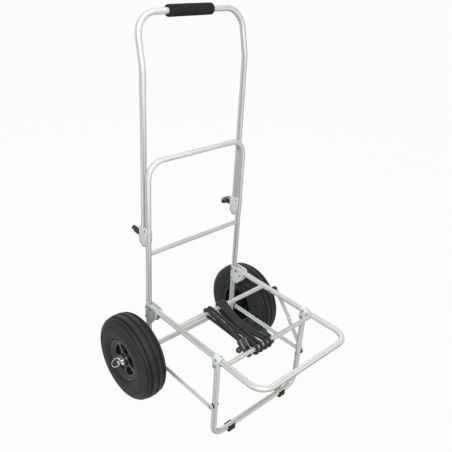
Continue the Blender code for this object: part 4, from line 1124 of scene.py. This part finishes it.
def cord_run(start, end):
    """The inner points of a run between two bars."""
    first_x, last_x = HOOKS["first"][0], HOOKS["last"][0]
    place = ((start.x + end.x) / 2 - first_x) / (last_x - first_x)
    sway = Vector((MOST_PULL * (1 - 2 * place), 0, -MOST_SAG * place))
    shares = [i / RUN_STEPS for i in range(1, RUN_STEPS)]
    return [start.lerp(end, share) + sway * math.sin(math.pi * share) for share in shares]


def cord_route():
    leaving = Vector((0, math.cos(CORD_DROP), -math.sin(CORD_DROP)))
    mouths = [hook_point(name, HOOK_LENGTH, HOOK_REACH) for name in ("first", "last")]
    turns = []
    for i, x in enumerate(REAR_TURNS):
        turns.append(cord_turn(x, REAR_BAR, 95, -95))
        if i < len(FRONT_TURNS):
            turns.append(cord_turn(FRONT_TURNS[i], FRONT_BAR, 265, 85))
    route = [mouths[0] - leaving * CORD_DEPTH, mouths[0] + leaving * HOOK_BLOCK]
    route += cord_run(route[-1], turns[0][0])
    for turn, following in zip(turns, turns[1:]):
        route += turn + cord_run(turn[-1], following[0])
    outside = mouths[1] + leaving * HOOK_BLOCK
    route += turns[-1] + cord_run(turns[-1][-1], outside)
    return route + [outside, mouths[1] - leaving * CORD_DEPTH]


def evenly(points, step):
    """The same route with points at equal distances, each then eased between its neighbours."""
    lengths = [(b - a).length for a, b in zip(points, points[1:])]
    count = round(sum(lengths) / step)
    spaced = [points[0]]
    segment, passed = 0, 0.0
    for i in range(1, count):
        wanted = sum(lengths) * i / count
        while passed + lengths[segment] < wanted:
            passed += lengths[segment]
            segment += 1
        share = (wanted - passed) / lengths[segment]
        spaced.append(points[segment].lerp(points[segment + 1], share))
    spaced.append(points[-1])
    inner = [(a + 2 * b + c) / 4 for a, b, c in zip(spaced, spaced[1:], spaced[2:])]
    return [spaced[0]] + inner + [spaced[-1]], sum(lengths)


cord_points, cord_length = evenly(cord_route(), CORD_STEP)
print("cord", round(cord_length, 2), "m,", len(cord_points), "points")

# %% [markdown]
# The sheath is braided from black polyester: bundles of thread cross and give a lattice of small
# diamonds. A bundle is about 1.2 mm wide. The cord's own UV map runs from 0 to 1 along it and
# round it, so two families of slanted waves on it make the braid.

# %% Braided sheath
BRAID_PITCH = 0.0034
BRAID_TURNS = 8


def braided_sheath(length):
    material, tree, shader = blank("braided_polyester_sheath")
    shader.inputs["IOR"].default_value = 1.55
    shader.inputs["Specular IOR Level"].default_value = 0.35
    shader.inputs["Sheen Weight"].default_value = 0.1
    own = add(tree, "ShaderNodeUVMap", uv_map="UVMap").outputs["UV"]
    parts = add(tree, "ShaderNodeSeparateXYZ", {"Vector": own}).outputs
    along = maths(tree, "MULTIPLY", parts["X"], 2 * math.pi * length / BRAID_PITCH)
    waves = []
    for slant in (-1, 1):
        winding = slant * 2 * math.pi * BRAID_TURNS
        phase = maths(tree, "MULTIPLY_ADD", parts["Y"], winding, along)
        waves.append(maths(tree, "SINE", phase))
    lattice = maths(tree, "MULTIPLY", *waves)
    place = add(tree, "ShaderNodeTexCoord").outputs["Object"]
    wear = noise(tree, stretched(tree, place, (1 / 0.03,) * 3), 3, 0.6)
    worn = maths(tree, "MULTIPLY", wear, levels(tree, lattice, 0.35, 0.65))
    braid = tones(tree, worn, [(0.1, "#0b0c0c"), (0.25, "#131415"), (0.42, "#1f2223")])
    paint(tree, shader, braid, levels(tree, wear, 0.55, 0.8))
    bump(tree, shader, lattice, 0.0003, 0.6)
    return material


curve = bpy.data.curves.new("bungee_cord_braided", "CURVE")
curve.dimensions = "3D"
curve.bevel_depth = CORD / 2
curve.bevel_resolution = 6
curve.use_fill_caps = True
spline = curve.splines.new("POLY")
spline.points.add(len(cord_points) - 1)
for point, place in zip(spline.points, cord_points):
    point.co = (*place, 1)
cord = bpy.data.objects.new("bungee_cord_braided", curve)
bpy.context.scene.collection.objects.link(cord)
only(cord)
bpy.ops.object.convert(target="MESH")
cord = bpy.context.object
bpy.ops.object.mode_set(mode="EDIT")
bpy.ops.mesh.select_all(action="SELECT")
bpy.ops.mesh.remove_doubles(threshold=1e-6)
bpy.ops.object.mode_set(mode="OBJECT")
smooth(cord, 50)
dress(cord, "platform", braided_sheath(cord_length), "bungee_cord")
print(cord.name, len(cord.data.polygons), "faces")

# %% [markdown]
# ## Studio
#
# The trolley stands on a white sweep. The floor is a pale matt surface that keeps the soft
# shadow under the wheels, mixed with plain white where the camera or a reflection sees it. One
# soft lamp in front gives the round tubes their bright middles and darker edges. Weaker ones
# above and behind, and a dim even sky, fill the shadows.

# %% Floor, sky and lamps
WHITE = (1, 1, 1, 1)
WHITE_SHARE = 0.97
SKY_LIGHT = 0.15


def seen_white(tree):
    """One for rays from the camera, a reflection or a clear surface, and nought for others."""
    rays = add(tree, "ShaderNodeLightPath").outputs
    seen = maths(tree, "MAXIMUM", rays["Is Camera Ray"], rays["Is Glossy Ray"])
    return maths(tree, "MAXIMUM", seen, rays["Is Transmission Ray"])


def studio_floor():
    material = bpy.data.materials.new("white_paper_sweep")
    material.use_nodes = True
    tree = material.node_tree
    tree.nodes.clear()
    share = maths(tree, "MULTIPLY", seen_white(tree), WHITE_SHARE)
    paper = add(tree, "ShaderNodeBsdfDiffuse", {"Color": colour("#a8a8a8")}).outputs[0]
    white = add(tree, "ShaderNodeEmission", {"Color": WHITE, "Strength": 1.0}).outputs[0]
    sweep = add(tree, "ShaderNodeMixShader", {0: share, 1: paper, 2: white}).outputs[0]
    add(tree, "ShaderNodeOutputMaterial", {"Surface": sweep})
    return material


bpy.ops.object.select_all(action="DESELECT")
bpy.ops.mesh.primitive_plane_add(size=60, location=(0, 0, -0.0005))
floor = named("studio_floor")
floor.data.materials.append(studio_floor())

world = bpy.data.worlds.new("soft_white_studio")
bpy.context.scene.world = world
world.use_nodes = True
sky = world.node_tree
sky.nodes.clear()
strength = levels(sky, seen_white(sky), SKY_LIGHT, 1.0)
backdrop = add(sky, "ShaderNodeBackground", {"Color": WHITE, "Strength": strength})
add(sky, "ShaderNodeOutputWorld", {"Surface": backdrop.outputs[0]})


def lamp(name, place, size, power):
    """A square soft box that faces the middle of the trolley."""
    light = bpy.data.objects.new(name, bpy.data.lights.new(name, "AREA"))
    bpy.context.scene.collection.objects.link(light)
    light.data.shape = "SQUARE"
    light.data.size = size
    light.data.energy = power
    light.location = place
    beam = Vector((0, 0, 0.4)) - Vector(place)
    light.rotation_euler = beam.to_track_quat("-Z", "Y").to_euler()


lamp("soft_box_over", (-0.6, -0.4, 3.2), 2.0, 8)
lamp("soft_box_front", (-0.95, -1.15, 1.7), 0.9, 33)
lamp("soft_box_back", (1.2, 1.7, 1.6), 1.6, 12)
bpy.context.scene.view_settings.view_transform = "Standard"
